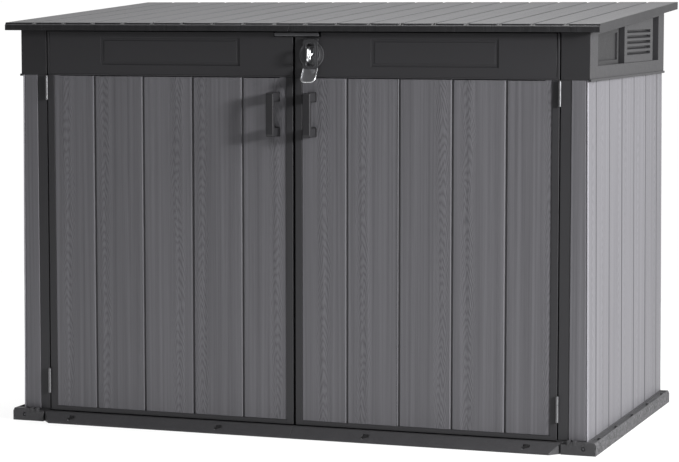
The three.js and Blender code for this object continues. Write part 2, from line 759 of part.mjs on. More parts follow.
// Slotted plate that hangs over the staple, ending in a cupped finger pull.
function haspPlate() {
  const back = FACE - 11
  const half = HASP_WIDTH / 2
  const plate = block([HASP_X - half, HASP_X + half], [back - 2.5, back], [1119, HASP_AXIS_Z])
  const lug = block(
    [HASP_X - 10, HASP_X + 10], [back - 2.5, HASP_AXIS_Y], [HASP_AXIS_Z - 3, HASP_AXIS_Z + 2])
  const knuckle = rod('x', 4.2, [HASP_X - 10, HASP_X + 10], [HASP_AXIS_Y, HASP_AXIS_Z])
  const bore = rod('x', 1.9, [HASP_X - 11, HASP_X + 11], [HASP_AXIS_Y, HASP_AXIS_Z])
  const slot = alongY(roundedRectangle(HASP_X, 1165, 24, 68, 8), [back - 4, back + 1])

  const tip = 1082
  const reach = back - 27
  const pullPlate = alongX([
    [back, 1122],
    [back - 2.5, 1122],
    [reach - 2.5, tip],
    [reach, tip],
  ], [HASP_X - half, HASP_X + half])
  const pullRim = alongX([
    [back, 1122],
    [back - 5.5, 1122],
    [reach - 5.5, tip],
    [reach, tip],
  ], [HASP_X - half, HASP_X + half])
  const footprint = alongY(
    roundedRectangle(HASP_X, 1122, HASP_WIDTH, 2 * (1122 - tip), 16), [reach - 8, back])
  const cup = alongY(
    roundedRectangle(HASP_X, 1122, HASP_WIDTH - 8, 2 * (1122 - tip) - 8, 12), [reach - 9, back + 1])
  const rim = cut(pullRim, cup)
  return cut(join(plate, lug, knuckle, join(pullPlate, rim).intersect(footprint)), bore, slot)
}

function stapleBase() {
  const disc = join(
    rod('y', 40, [FACE - 3.3, FACE - GAP], [HASP_X, STAPLE_Z], 28),
    rod('y', 27, [FACE - 6, FACE - 3], [HASP_X, STAPLE_Z], 24))
  const leafSeat = block([HASP_X - 22.5, HASP_X + 22.5], [FACE - 7, FACE], [1195, 1210])
  return cut(disc, leafSeat, rod('y', 5.4, [FACE - 7, FACE], [HASP_X, STAPLE_Z]))
}

// Turning staple: a neck through the plate's slot with a padlock eye in front.
function swivelStaple() {
  const neck = rod('y', 5, [FACE - 16, FACE - GAP - 0.4], [HASP_X, STAPLE_Z])
  const back = FACE - 14
  const front = FACE - 41
  const middle = (back + front) / 2
  const loop = cut(
    alongX(roundedRectangle(middle, STAPLE_Z, back - front, 46, 11), [HASP_X - 3, HASP_X + 3]),
    alongX(roundedRectangle(middle, STAPLE_Z, back - front - 14, 32, 5), [HASP_X - 5, HASP_X + 5]))
  return join(neck, loop)
}

// ------------------------------------------------------------------ assembly

const product = new THREE.Group()

function addCarcass() {
  product.add(pair('floor', floorHalf(), charcoal))
  product.add(pair('threshold', threshold(), charcoal))
  product.add(pair('side_wall', sideWall(), plankGrey))
  product.add(pair('side_frieze', sideFrieze(), charcoal))
  product.add(pair('vent_louvre', ventLouvre(), charcoal))
  product.add(pair('door_jamb', doorJamb(), charcoal))
  product.add(pair('rear_wall', rearWallHalf(), plankGrey))
  product.add(part('rear_frieze', rearFrieze(), charcoal()))
  LID_HINGE_XS.forEach((x, i) => {
    const bracket = part(`lid_hinge_bracket_${i + 1}`, lidHingeBracket(), charcoal())
    bracket.position.x = x
    product.add(bracket)
  })
}

function addLid() {
  product.add(pair('lid_panel', lidHalf(), roofGrey))
  product.add(part('lid_seam_rail', lidSeamRail(), charcoal()))
  product.add(part('lid_front_rail', lidFrontRail(), darkSteel()))
  product.add(part('lid_keeper', lidKeeper(), darkSteel()))
  const hingeRod = rod('x', 3, [-640, 640], [LID_HINGE_Y, LID_HINGE_Z])
  product.add(part('lid_hinge_rod', hingeRod, steel()))
}

function addStruts() {
  product.add(pair('strut_wall_bracket', strutWallBracket(), darkSteel))
  product.add(pair('strut_lid_bracket', strutLidBracket(), darkSteel))
  const leaning = new THREE.Group()
  leaning.position.set(0, ...STRUT_FOOT)
  leaning.rotation.x = strutLean
  leaning.add(pair('strut_cylinder', strutTube(), darkSteel))
  leaning.add(pair('strut_rod', strutRod(), steel))
  product.add(leaning)
}

function addDoors() {
  const mouldings = { left: [176, 641], right: [246, 641] }
  const notches = { left: 64, right: 86 }
  product.add(pair('door_frame', doorFrame(), charcoal))
  product.add(pair('door_panel', doorPanel(), plankGrey))
  product.add(pair('door_handle', doorHandle(), charcoal))
  for (const side of ['left', 'right']) {
    const frieze = part(`door_frieze_${side}`, doorFrieze(mouldings[side], notches[side]), charcoal())
    if (side === 'left') {
      frieze.geometry = mirrored(frieze.geometry)
    }
    product.add(frieze)
  }
  const places = ['lower', 'upper']
  HINGE_SPANS.forEach((span, i) => {
    const { fixed, moving, pin } = doorHinge(span)
    product.add(pair(`${places[i]}_hinge_leaf_fixed`, fixed, steel))
    product.add(pair(`${places[i]}_hinge_leaf_door`, moving, steel))
    product.add(pair(`${places[i]}_hinge_pin`, pin, steel))
  })
}

function addLatch() {
  product.add(part('hasp_leaf', haspLeaf(), darkSteel()))
  product.add(part('hasp_pin', haspPin(), steel()))
  product.add(part('hasp_plate', haspPlate(), darkSteel()))
  product.add(part('staple_base', stapleBase(), darkSteel()))
  product.add(part('swivel_staple', swivelStaple(), steel()))
}

addCarcass()
addLid()
addStruts()
addDoors()
addLatch()

export default product
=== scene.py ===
"""Garden storage box: moulded plastic shells, grained boards and plated hardware.

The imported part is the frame. Each shell is worked up from its own node with
rounded edges, and the small hardware is drawn afresh at full smoothness.
"""

import json
import math

import bmesh
import bpy
from mathutils import Matrix, Vector


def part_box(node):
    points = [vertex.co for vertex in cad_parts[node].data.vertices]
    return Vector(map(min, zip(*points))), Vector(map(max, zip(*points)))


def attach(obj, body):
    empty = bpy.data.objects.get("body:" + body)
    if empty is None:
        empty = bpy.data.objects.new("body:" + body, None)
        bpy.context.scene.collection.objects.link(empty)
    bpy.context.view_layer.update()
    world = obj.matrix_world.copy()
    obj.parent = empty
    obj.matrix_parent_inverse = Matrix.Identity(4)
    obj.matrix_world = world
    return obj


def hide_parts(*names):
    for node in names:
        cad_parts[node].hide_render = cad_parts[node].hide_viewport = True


bl_info = {
    "name": "Garden Storage Box",
    "version": (1, 0, 0),
    "blender": (4, 5, 0),
    "location": "View3D > Sidebar > Storage Box",
    "description": "Builds the shells, boards, doors, latch and struts of a garden storage box",
    "category": "Object",
}

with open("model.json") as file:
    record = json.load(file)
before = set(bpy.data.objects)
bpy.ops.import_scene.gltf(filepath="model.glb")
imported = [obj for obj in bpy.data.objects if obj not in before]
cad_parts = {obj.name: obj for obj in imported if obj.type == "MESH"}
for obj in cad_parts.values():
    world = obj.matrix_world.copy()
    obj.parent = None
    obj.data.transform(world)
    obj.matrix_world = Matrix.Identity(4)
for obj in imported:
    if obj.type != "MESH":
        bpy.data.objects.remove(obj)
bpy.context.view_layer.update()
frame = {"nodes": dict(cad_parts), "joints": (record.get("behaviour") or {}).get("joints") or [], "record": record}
MM = 0.001
SIDES = (("left", -1), ("right", 1))
ACROSS = {"X": 0, "Y": 1, "Z": 2}

BODY_OF = {
    node: body
    for body, nodes in frame["record"]["behaviour"]["bodies"].items()
    for node in nodes
}
SLOT_OF = {row["node"]: row["material_slot"] for row in frame["record"]["subparts"]}
JOINT = {joint["name"]: joint for joint in frame["joints"]}

# Driving places, all taken from the frame
DOOR_LOW, DOOR_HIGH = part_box("door_panel_right")
LEAF_LOW, LEAF_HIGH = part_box("door_frame_right")
DOOR_FACE = LEAF_LOW.y
FRIEZE_LOW, FRIEZE_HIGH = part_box("door_frieze_right")
LID_LOW, LID_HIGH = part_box("lid_panel_right")
CAD_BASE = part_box("floor_right")[1].x
HASP_PIVOT = Vector(JOINT["hasp_hinge"]["pos_m"])
STAPLE_PIVOT = Vector(JOINT["staple_turn"]["pos_m"])

# Board lines: first line, pitch from line to line
DOOR_BOARDS = (0.169, 0.1653)
SIDE_BOARDS = (-0.401, 0.167)
REAR_BOARDS = (0.188, 0.178)
ROOF_BOARDS = ((LID_HIGH.x * 2 / 19) / 2, LID_HIGH.x * 2 / 19)
ROOF_RISE = 65 * MM
WALL_BATTER = 9 * MM


# ------------------------------------------------------------------ settings


class StorageBoxColours(bpy.types.PropertyGroup):
    """Colours of the plastics and metals."""

    plank: bpy.props.FloatVectorProperty(
        name="Planks", description="Walls and door boards", subtype="COLOR",
        size=3, min=0, max=1, default=(0.110, 0.108, 0.1177))
    charcoal: bpy.props.FloatVectorProperty(
        name="Charcoal", description="Friezes, door frames and handles",
        subtype="COLOR", size=3, min=0, max=1, default=(0.030, 0.0295, 0.032))
    base: bpy.props.FloatVectorProperty(
        name="Base", description="Base, with its leathery skirt", subtype="COLOR",
        size=3, min=0, max=1, default=(0.037, 0.0364, 0.0392))
    roof: bpy.props.FloatVectorProperty(
        name="Roof", description="Roof boards", subtype="COLOR",
        size=3, min=0, max=1, default=(0.0242, 0.0239, 0.0262))
    zinc: bpy.props.FloatVectorProperty(
        name="Zinc", description="Bright plated steel", subtype="COLOR",
        size=3, min=0, max=1, default=(0.2, 0.2, 0.207))
    coated: bpy.props.FloatVectorProperty(
        name="Coated steel", description="Dark coated steel of latch and struts",
        subtype="COLOR", size=3, min=0, max=1, default=(0.085, 0.085, 0.092))


class StorageBoxSizes(bpy.types.PropertyGroup):
    """Sizes that belong to the finish, not to the part."""

    notch_width: bpy.props.FloatProperty(
        name="Eaves notch", description="Width of the notch at each board line",
        default=15 * MM, min=0, unit="LENGTH")
    notch_depth: bpy.props.FloatProperty(
        name="Notch depth", description="Depth of the notch at each board line",
        default=6 * MM, min=0, unit="LENGTH")
    line_width: bpy.props.FloatProperty(
        name="Board line", description="Width of the line between two boards",
        default=3.4 * MM, min=0, unit="LENGTH")
    line_shoulder: bpy.props.FloatProperty(
        name="Line shoulder", description="Rounding of the boards beside a line",
        default=3.4 * MM, min=0, unit="LENGTH")
    screw_radius: bpy.props.FloatProperty(
        name="Screw head", description="Radius of a screw's head",
        default=4.6 * MM, min=0, unit="LENGTH")
    wire_radius: bpy.props.FloatProperty(
        name="Staple bar", description="Radius of the staple's round bar",
        default=4.4 * MM, min=0, unit="LENGTH")


class StorageBoxSettings(bpy.types.PropertyGroup):
    """Everything that a user would change."""

    colours: bpy.props.PointerProperty(type=StorageBoxColours)
    sizes: bpy.props.PointerProperty(type=StorageBoxSizes)


def settings():
    return bpy.context.scene.storage_box


# ----------------------------------------------------------------- materials


class Finish:
    """One procedural material, built node by node."""

    def __init__(self, name, colour, roughness, metallic=0.0, specular=0.5):
        self.material = bpy.data.materials.new(name)
        self.material.use_nodes = True
        self.tree = self.material.node_tree
        self.shader = self.tree.nodes["Principled BSDF"]
        self.shader.inputs["Metallic"].default_value = metallic
        self.shader.inputs["Specular IOR Level"].default_value = specular
        self.shader.inputs["Roughness"].default_value = roughness
        self.shader.inputs["Base Color"].default_value = (*colour, 1)
        self.colour = colour
        place = self.node("ShaderNodeTexCoord")
        self.place = place.outputs["Object"]
        parts = self.node("ShaderNodeSeparateXYZ", Vector=self.place)
        self.axis = dict(zip("XYZ", parts.outputs))
        normal = self.node("ShaderNodeSeparateXYZ", Vector=place.outputs["Normal"])
        self.facing = dict(zip("XYZ", normal.outputs))

    def node(self, kind, **inputs):
        made = self.tree.nodes.new(kind)
        for name, value in inputs.items():
            self.plug(made.inputs[name.replace("_", " ")], value)
        return made

    def plug(self, socket, value):
        if isinstance(value, bpy.types.NodeSocket):
            self.tree.links.new(value, socket)
        else:
            socket.default_value = value

    def sum(self, operation, first, second=0.0):
        made = self.tree.nodes.new("ShaderNodeMath")
        made.operation = operation
        self.plug(made.inputs[0], first)
        self.plug(made.inputs[1], second)
        return made.outputs[0]

    def vector(self, x, y, z):
        return self.node("ShaderNodeCombineXYZ", X=x, Y=y, Z=z).outputs[0]

    def noise(self, vector, scale, detail=3.0, roughness=0.55, distortion=0.0):
        made = self.node(
            "ShaderNodeTexNoise", Vector=vector, Scale=scale, Detail=detail,
            Roughness=roughness, Distortion=distortion)
        return made.outputs["Fac"]

    def spread(self, value, low, high):
        """The value, from 0..1, spread over low..high."""
        made = self.node(
            "ShaderNodeMapRange", Value=value, To_Min=low, To_Max=high)
        return made.outputs[0]

    def shade(self, amount):
        """The colour, multiplied by an amount that varies over the surface."""
        made = self.tree.nodes.new("ShaderNodeVectorMath")
        made.operation = "SCALE"
        made.inputs[0].default_value = self.colour
        self.plug(made.inputs["Scale"], amount)
        self.plug(self.shader.inputs["Base Color"], made.outputs[0])

    def rough(self, amount):
        self.plug(self.shader.inputs["Roughness"], amount)

    def bump(self, height, depth, strength=1.0):
        made = self.node("ShaderNodeBump", Height=height, Strength=strength, Distance=depth)
        self.plug(self.shader.inputs["Normal"], made.outputs[0])


def smooth_plastic(name, colour, roughness=0.52, grain=1.0):
    """Moulded plastic with a fine spark-eroded skin and faint flow marks."""
    finish = Finish(name, colour, roughness, specular=0.3)
    skin = finish.noise(finish.place, 1500.0, 2.0, 0.6)
    flow = finish.noise(finish.place, 5.0, 3.0, 0.5)
    cloud = finish.noise(finish.place, 46.0, 4.0, 0.62)
    mix = finish.sum("ADD", finish.spread(flow, -0.05, 0.05), finish.spread(cloud, 0.955, 1.045))
    finish.shade(mix)
    finish.rough(finish.spread(cloud, roughness - 0.06, roughness + 0.07))
    height = finish.sum("ADD", finish.sum("MULTIPLY", cloud, 0.7), finish.sum("MULTIPLY", skin, 0.5))
    finish.bump(height, 0.22 * MM * grain)
    return finish.material


def coarse_plastic(name, colour):
    """Base plastic; its skirt is cast with a leathery texture, and its outer face is painted paler: painted light."""
    finish = Finish(name, colour, 0.6, specular=0.4)
    lump = finish.noise(finish.place, 75.0, 5.0, 0.75, 1.2)
    skin = finish.noise(finish.place, 900.0, 2.0, 0.6)
    flow = finish.noise(finish.place, 9.0, 3.0, 0.5)
    outside = finish.sum("ABSOLUTE", finish.axis["X"])
    skirt = finish.node(
        "ShaderNodeMapRange", Value=outside, From_Min=CAD_BASE - 7 * MM, From_Max=CAD_BASE - 1 * MM)
    skirt = skirt.outputs[0]
    speckle = finish.sum(
        "MULTIPLY", finish.sum("SUBTRACT", lump, 0.5), finish.sum("ADD", 0.35, finish.sum("MULTIPLY", skirt, 3.4)))
    tone = finish.sum("ADD", finish.sum("MULTIPLY", speckle, 2.2), finish.spread(flow, 0.94, 1.06))
    # Painted light: the skirt's outer face is painted paler, as if it leaned into the lamps.
    tone = finish.sum("MULTIPLY", tone, finish.sum("ADD", 1.0, finish.sum("MULTIPLY", skirt, 0.55)))
    finish.shade(tone)
    finish.rough(finish.spread(lump, 0.5, 0.68))
    height = finish.sum("ADD", finish.sum("MULTIPLY", speckle, 2.0), finish.sum("MULTIPLY", skin, 0.15))
    finish.bump(height, 1.6 * MM, 0.9)
    return finish.material


def grained_plastic(name, colour, across, along, boards, line=0.55, reach=2.4, contrast=1.0, mirrored=True):
    """Boards moulded with wood grain: long fibres and nested arches, new on each board."""
    finish = Finish(name, colour, 0.55, specular=0.3)
    first, pitch = boards
    position = finish.axis[across]
    if mirrored:
        position = finish.sum("ABSOLUTE", position)
    count = finish.sum("DIVIDE", finish.sum("SUBTRACT", position, first), pitch)
    index = finish.sum("FLOOR", count)
    if mirrored:
        index = finish.sum("ADD", index, finish.sum("MULTIPLY", finish.sum("SIGN", finish.axis[across]), 17.0))
    inside = finish.sum("SUBTRACT", finish.sum("FRACT", count), 0.5)
    chance = finish.tree.nodes.new("ShaderNodeTexWhiteNoise")
    chance.noise_dimensions = "1D"
    finish.plug(chance.inputs["W"], index)
    luck = chance.outputs["Value"]
    shift = finish.sum("MULTIPLY", luck, 37.0)

    # Nested arches in a narrow column that wanders along the board
    run = finish.sum("ADD", finish.axis[along], shift)
    wander = finish.noise(finish.vector(shift, 0.0, run), 2.6, 2.0, 0.5)
    offset = finish.sum("MULTIPLY", inside, pitch)
    offset = finish.sum("ADD", offset, finish.spread(wander, -0.02, 0.02))
    offset = finish.sum("ADD", offset, finish.spread(luck, -0.055, 0.055))
    square = finish.sum("MULTIPLY", offset, offset)
    ripple = finish.noise(finish.vector(finish.sum("MULTIPLY", offset, 9.0), shift, run), 7.0, 2.0, 0.5)
    rings = finish.sum("ADD", finish.sum("MULTIPLY", square, 7000.0), finish.sum("MULTIPLY", run, 34.0))
    rings = finish.sum("ADD", rings, finish.sum("MULTIPLY", ripple, 3.4))
    arch = finish.sum("POWER", finish.sum("MULTIPLY", finish.sum("PINGPONG", rings, 0.5), 2.0), 1.6)
    edge = finish.node(
        "ShaderNodeMapRange", Value=square, From_Min=0.0003, From_Max=0.0011, To_Min=1.0, To_Max=0.12)
    edge.interpolation_type = "SMOOTHSTEP"
    arch = finish.sum("MULTIPLY", finish.sum("SUBTRACT", arch, 0.4), edge.outputs[0])
    if across == "Y":
        arch = finish.sum("MULTIPLY", arch, finish.sum("ABSOLUTE", finish.facing["X"]))

    # Straight reeding and fine fibres, drawn out along the board and round a corner
    around = finish.axis[across]
    if along == "Z":
        around = finish.sum("ADD", finish.axis["X"], finish.axis["Y"])

    def drawn(scale, stretch, detail):
        place = finish.vector(
            finish.sum("MULTIPLY", around, scale), shift, finish.sum("MULTIPLY", run, stretch))
        return finish.noise(place, 1.0, detail, 0.6)

    reed = drawn(90.0, 0.7, 1.0)
    fibre = drawn(560.0, 8.0, 3.0)
    skin = finish.noise(finish.place, 1400.0, 2.0, 0.6)

    # Painted shade, with some grime, darkens the lines between the boards
    away = finish.sum("MULTIPLY", finish.sum("SUBTRACT", 0.5, finish.sum("ABSOLUTE", inside)), pitch)
    grime_and_shade = finish.node(
        "ShaderNodeMapRange", Value=away, From_Min=0.6 * reach * MM, From_Max=1.4 * reach * MM, To_Min=line, To_Max=1.0)

    tone = finish.sum("ADD", finish.spread(reed, 1 - 0.3 * contrast, 1 + 0.3 * contrast),
                      finish.spread(fibre, -0.14 * contrast, 0.14 * contrast))
    tone = finish.sum("SUBTRACT", tone, finish.sum("MULTIPLY", arch, 0.3 * contrast))
    tone = finish.sum("ADD", tone, finish.spread(luck, -0.02, 0.02))
    shade_and_grime = grime_and_shade.outputs[0]
    # On the roof the lines are darkened only on faces that look up, and faces that look less up get painted shade.
    if along == "Y":
        top = finish.sum("MAXIMUM", finish.facing["Z"], 0.0)
        shade_and_grime = finish.sum("ADD", 1.0, finish.sum("MULTIPLY", finish.sum("SUBTRACT", shade_and_grime, 1.0), top))
        shade_and_grime = finish.sum("MULTIPLY", shade_and_grime, finish.spread(top, 0.62, 1.0))
    finish.shade(finish.sum("MULTIPLY", tone, shade_and_grime))
    finish.rough(finish.spread(fibre, 0.48, 0.66))
    height = finish.sum("SUBTRACT", finish.sum("MULTIPLY", fibre, 0.5), finish.sum("MULTIPLY", arch, 0.8))
    height = finish.sum("ADD", height, finish.sum("MULTIPLY", reed, 1.4))
    height = finish.sum("ADD", height, finish.sum("MULTIPLY", skin, 0.08))
    finish.bump(height, 0.5 * MM)
    return finish.material


def plated_steel(name, colour, roughness=0.42, brushed="Z"):
    """Bright zinc or chrome plating with fine drawing lines and dull patches."""
    finish = Finish(name, colour, roughness, metallic=1.0)
    scales = [900.0, 900.0, 900.0]
    scales[ACROSS[brushed]] = 30.0
    lines = finish.vector(*[finish.sum("MULTIPLY", finish.axis[a], s) for a, s in zip("XYZ", scales)])
    drawn = finish.noise(lines, 1.0, 3.0, 0.6)
    cloud = finish.noise(finish.place, 60.0, 4.0, 0.6)
    finish.shade(finish.sum("ADD", finish.spread(cloud, 0.86, 1.06), finish.spread(drawn, -0.05, 0.05)))
    finish.rough(finish.sum("ADD", finish.spread(cloud, roughness - 0.08, roughness + 0.14),
                            finish.spread(drawn, -0.05, 0.05)))
    finish.bump(drawn, 0.03 * MM)
    return finish.material


def coated_steel(name, colour, roughness=0.36):
    """Powder-coated steel with orange peel."""
    finish = Finish(name, colour, roughness, metallic=0.35, specular=0.5)
    peel = finish.noise(finish.place, 420.0, 3.0, 0.5)
    cloud = finish.noise(finish.place, 35.0, 4.0, 0.6)
    finish.shade(finish.spread(cloud, 0.9, 1.1))
    finish.rough(finish.spread(cloud, roughness - 0.07, roughness + 0.09))
    finish.bump(peel, 0.12 * MM)
    return finish.material


def stage_white(name):
    """A white sheet that is lit from below as well, as in a studio."""
    finish = Finish(name, (0.2, 0.2, 0.2), 0.9, specular=0.05)
    finish.shader.inputs["Emission Color"].default_value = (1, 1, 1, 1)
    finish.shader.inputs["Emission Strength"].default_value = 0.84
    cloud = finish.noise(finish.place, 1.5, 2.0, 0.5)
    finish.shade(finish.spread(cloud, 0.995, 1.005))
    return finish.material


FINISHES = {}


def make_finishes():
    colours = settings().colours
    plank = tuple(colours.plank)
    charcoal = tuple(colours.charcoal)
    roof = tuple(colours.roof)
    FINISHES.update({
        "charcoal": smooth_plastic("charcoal_shell", charcoal),
        # Darker copy of the charcoal: painted shade for sunk panes and gaps.
        "recess": smooth_plastic("painted_recess_shade", tuple(0.42 * c for c in charcoal), 0.6),
        # Near-black copy of the charcoal: painted shade for the hollow of a slot.
        "slot_shade": smooth_plastic("painted_slot_shade", tuple(0.25 * c for c in charcoal), 0.8),
        "handle": smooth_plastic("handle_plastic", tuple(0.8 * c for c in charcoal), 0.42, 0.7),
        "base": coarse_plastic("base_plastic", tuple(colours.base)),
        "door_boards": grained_plastic("door_boards", plank, "X", "Z", DOOR_BOARDS),
        "side_boards": grained_plastic("side_boards", plank, "Y", "Z", SIDE_BOARDS, 0.2, 4.5, mirrored=False),
        # Pale, glossy copy of the plank colour: a painted highlight for the corner beads.
        "bead": smooth_plastic("painted_highlight_plastic", tuple(2.1 * c for c in plank), 0.3, 0.5),
        # Darker copy of the charcoal for the side friezes and louvres: painted shade.
        "painted_shade_charcoal": smooth_plastic("painted_shade_charcoal", tuple(0.78 * c for c in charcoal)),
        "rear_boards": grained_plastic("rear_boards", plank, "X", "Z", REAR_BOARDS),
        "roof_boards": grained_plastic(
            "roof_boards", roof, "X", "Y", ROOF_BOARDS, 0.12, 4.2, 1.3),
        "zinc": plated_steel("zinc_plate", tuple(colours.zinc)),
        "chrome": plated_steel("bright_chrome", (0.92, 0.93, 0.95), 0.24),
        "coated": coated_steel("coated_steel", tuple(colours.coated)),
        "hasp": coated_steel("hasp_steel", (0.06, 0.06, 0.064), 0.34),
        "rosette": coated_steel("rosette_steel", (0.09, 0.09, 0.095), 0.24),
        "keeper": plated_steel("keeper_plate", (0.17, 0.17, 0.18), 0.5, "X"),
        "pull": plated_steel("pull_plate", (0.4, 0.4, 0.42), 0.42),
        "stage": stage_white("stage_white"),
    })


# ------------------------------------------------------------- mesh building


def new_piece(name, mesh, finish, body, *nodes, slot=None):
    """Puts a mesh into the scene as a piece that rides on a body and stands for nodes."""
    mesh = shade_smooth(mesh)
    mesh.materials.clear()
    mesh.materials.append(FINISHES[finish])
    piece = bpy.data.objects.new(name, mesh)
    bpy.context.scene.collection.objects.link(piece)
    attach(piece, body)
    if nodes:
        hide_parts(*nodes)
    return piece


def shade_smooth(mesh, degrees=32):
    """Smooth shading over the rounded edges that leaves the large faces flat."""
    mesh.polygons.foreach_set("use_smooth", [True] * len(mesh.polygons))
    mesh.set_sharp_from_angle(angle=math.radians(degrees))
    holder = bpy.data.objects.new("holder", mesh)
    bpy.context.scene.collection.objects.link(holder)
    weight = holder.modifiers.new("weight", "WEIGHTED_NORMAL")
    weight.keep_sharp = True
    bpy.context.view_layer.update()
    shaded = bpy.data.meshes.new_from_object(holder.evaluated_get(bpy.context.evaluated_depsgraph_get()))
    bpy.data.objects.remove(holder)
    shaded.name = mesh.name
    return shaded


def to_mesh(shape, name):
    mesh = bpy.data.meshes.new(name)
    bmesh.ops.remove_doubles(shape, verts=shape.verts, dist=0.004 * MM)
    bmesh.ops.recalc_face_normals(shape, faces=shape.faces)
    shape.to_mesh(mesh)
    shape.free()
    return mesh


def round_edges(shape, width, segments=2, least=3.0, angle=35):
    """Rounds the outer edges that are long enough to take it."""
    sharp = math.radians(angle)
    edges = [
        edge for edge in shape.edges
        if len(edge.link_faces) == 2
        and edge.calc_face_angle_signed(0) > sharp
        and edge.calc_length() > least * width
    ]
    bmesh.ops.bevel(
        shape, geom=edges, offset=width, offset_type="OFFSET", segments=segments,
        profile=0.5, affect="EDGES", clamp_overlap=False, loop_slide=True)


def flat_faces(mesh):
    """A mesh with its triangles gathered back into flat faces."""
    shape = bmesh.new()
    shape.from_mesh(mesh)
    bmesh.ops.remove_doubles(shape, verts=shape.verts, dist=0.01 * MM)
    bmesh.ops.dissolve_limit(
        shape, angle_limit=math.radians(0.6), verts=shape.verts, edges=shape.edges,
        use_dissolve_boundaries=False)
    return shape


def add_block(shape, low, high, matrix=Matrix.Identity(4)):
    """A box from one corner to the other, added to a shape."""
    low = Vector(low)
    high = Vector(high)
    place = Matrix.Translation((low + high) / 2) @ Matrix.Diagonal((*(high - low), 1))
    return bmesh.ops.create_cube(shape, size=1, matrix=matrix @ place)["verts"]


def carve(mesh, cutters, operation="DIFFERENCE"):
    """The mesh with a shape taken out of it or joined to it."""
    body = bpy.data.objects.new("carve_body", mesh)
    tool = bpy.data.objects.new("carve_tool", to_mesh(cutters, "carve_tool"))
    for thing in (body, tool):
        bpy.context.scene.collection.objects.link(thing)
    cut = body.modifiers.new("cut", "BOOLEAN")
    cut.operation = operation
    cut.solver = "MANIFOLD"
    cut.object = tool
    bpy.context.view_layer.update()
    result = bpy.data.meshes.new_from_object(body.evaluated_get(bpy.context.evaluated_depsgraph_get()))
    for thing in (body, tool):
        bpy.data.objects.remove(thing)
    if len(result.polygons) in (0, len(mesh.polygons)):
        raise RuntimeError(f"nothing was carved from {mesh.name}")
    return result


def shell(node, finish, edge, segments=2, cutters=()):
    """A moulded shell worked up from its node: flat faces, cuts, then rounded edges."""
    shape = flat_faces(frame["nodes"][node].data)
    for cutter in cutters:
        shape = flat_faces(carve(to_mesh(shape, node), cutter))
    round_edges(shape, edge, segments)
    return new_piece(f"moulded_{node}", to_mesh(shape, node), finish, BODY_OF[node], node)


def board_cutters(shape, places, origin, across, along, length, depth):
    """Cutters for the lines between boards: sloping flanks and a narrow floor.

    The lines run from the origin in the direction along, at distances across it.
    """
    across = Vector(across).normalized()
    along = Vector(along).normalized()
    outward = across.cross(along)
    half = settings().sizes.line_width / 2
    shoulder = settings().sizes.line_shoulder
    profile = [
        (0.8 * half, -depth), (half, -shoulder), (half + 0.8 * shoulder, -0.2 * shoulder),
        (half + 1.3 * shoulder, 0.05 * shoulder), (half + 1.3 * shoulder, 2 * MM)]
    profile += [(-u, w) for u, w in reversed(profile)]
    for place in places:
        ends = []
        for run in (0, length):
            ends.append([
                shape.verts.new(origin + across * (place + u) + outward * w + along * run)
                for u, w in profile])
        shape.faces.new(ends[0])
        shape.faces.new(ends[1][::-1])
        for i in range(len(profile)):
            j = (i + 1) % len(profile)
            shape.faces.new((ends[0][i], ends[1][i], ends[1][j], ends[0][j]))
    return shape


def lathe(shape, profile, axis, centre, steps=40):
    """Spins (radius, along) points round an axis through a centre."""
    turn = {"X": Matrix.Rotation(math.pi / 2, 4, "Y"), "Y": Matrix.Rotation(-math.pi / 2, 4, "X"),
            "Z": Matrix.Identity(4)}[axis]
    place = Matrix.Translation(centre) @ turn
    rings = []
    for radius, along in profile:
        if radius < 1e-7:
            rings.append([shape.verts.new(place @ Vector((0, 0, along)))])
            continue
        rings.append([
            shape.verts.new(place @ Vector((
                radius * math.cos(2 * math.pi * i / steps), radius * math.sin(2 * math.pi * i / steps), along)))
            for i in range(steps)])
    for low, high in zip(rings, rings[1:]):
        for i in range(steps):
            j = (i + 1) % steps
            if len(low) == 1 and len(high) == 1:
                continue
            if len(low) == 1:
                shape.faces.new((low[0], high[j], high[i]))
            elif len(high) == 1:
                shape.faces.new((low[i], low[j], high[0]))
            else:
                shape.faces.new((low[i], low[j], high[j], high[i]))
    return shape


def rounded_bar(radius, start, end, edge):
    """Profile of a solid round bar with softened ends."""
    return [
        (0, start), (radius - edge, start), (radius - 0.3 * edge, start + 0.3 * edge),
        (radius, start + edge), (radius, end - edge), (radius - 0.3 * edge, end - 0.3 * edge),
        (radius - edge, end), (0, end)]


def rounded_tube(outer, inner, start, end, edge):
    """Profile of a tube with softened ends, closed on itself."""
    return [
        (inner, start + edge), (inner + 0.3 * edge, start + 0.3 * edge), (inner + edge, start),
        (outer - edge, start), (outer - 0.3 * edge, start + 0.3 * edge), (outer, start + edge),
        (outer, end - edge), (outer - 0.3 * edge, end - 0.3 * edge), (outer - edge, end),
        (inner + edge, end), (inner + 0.3 * edge, end - 0.3 * edge), (inner, end - edge),
        (inner, start + edge)]


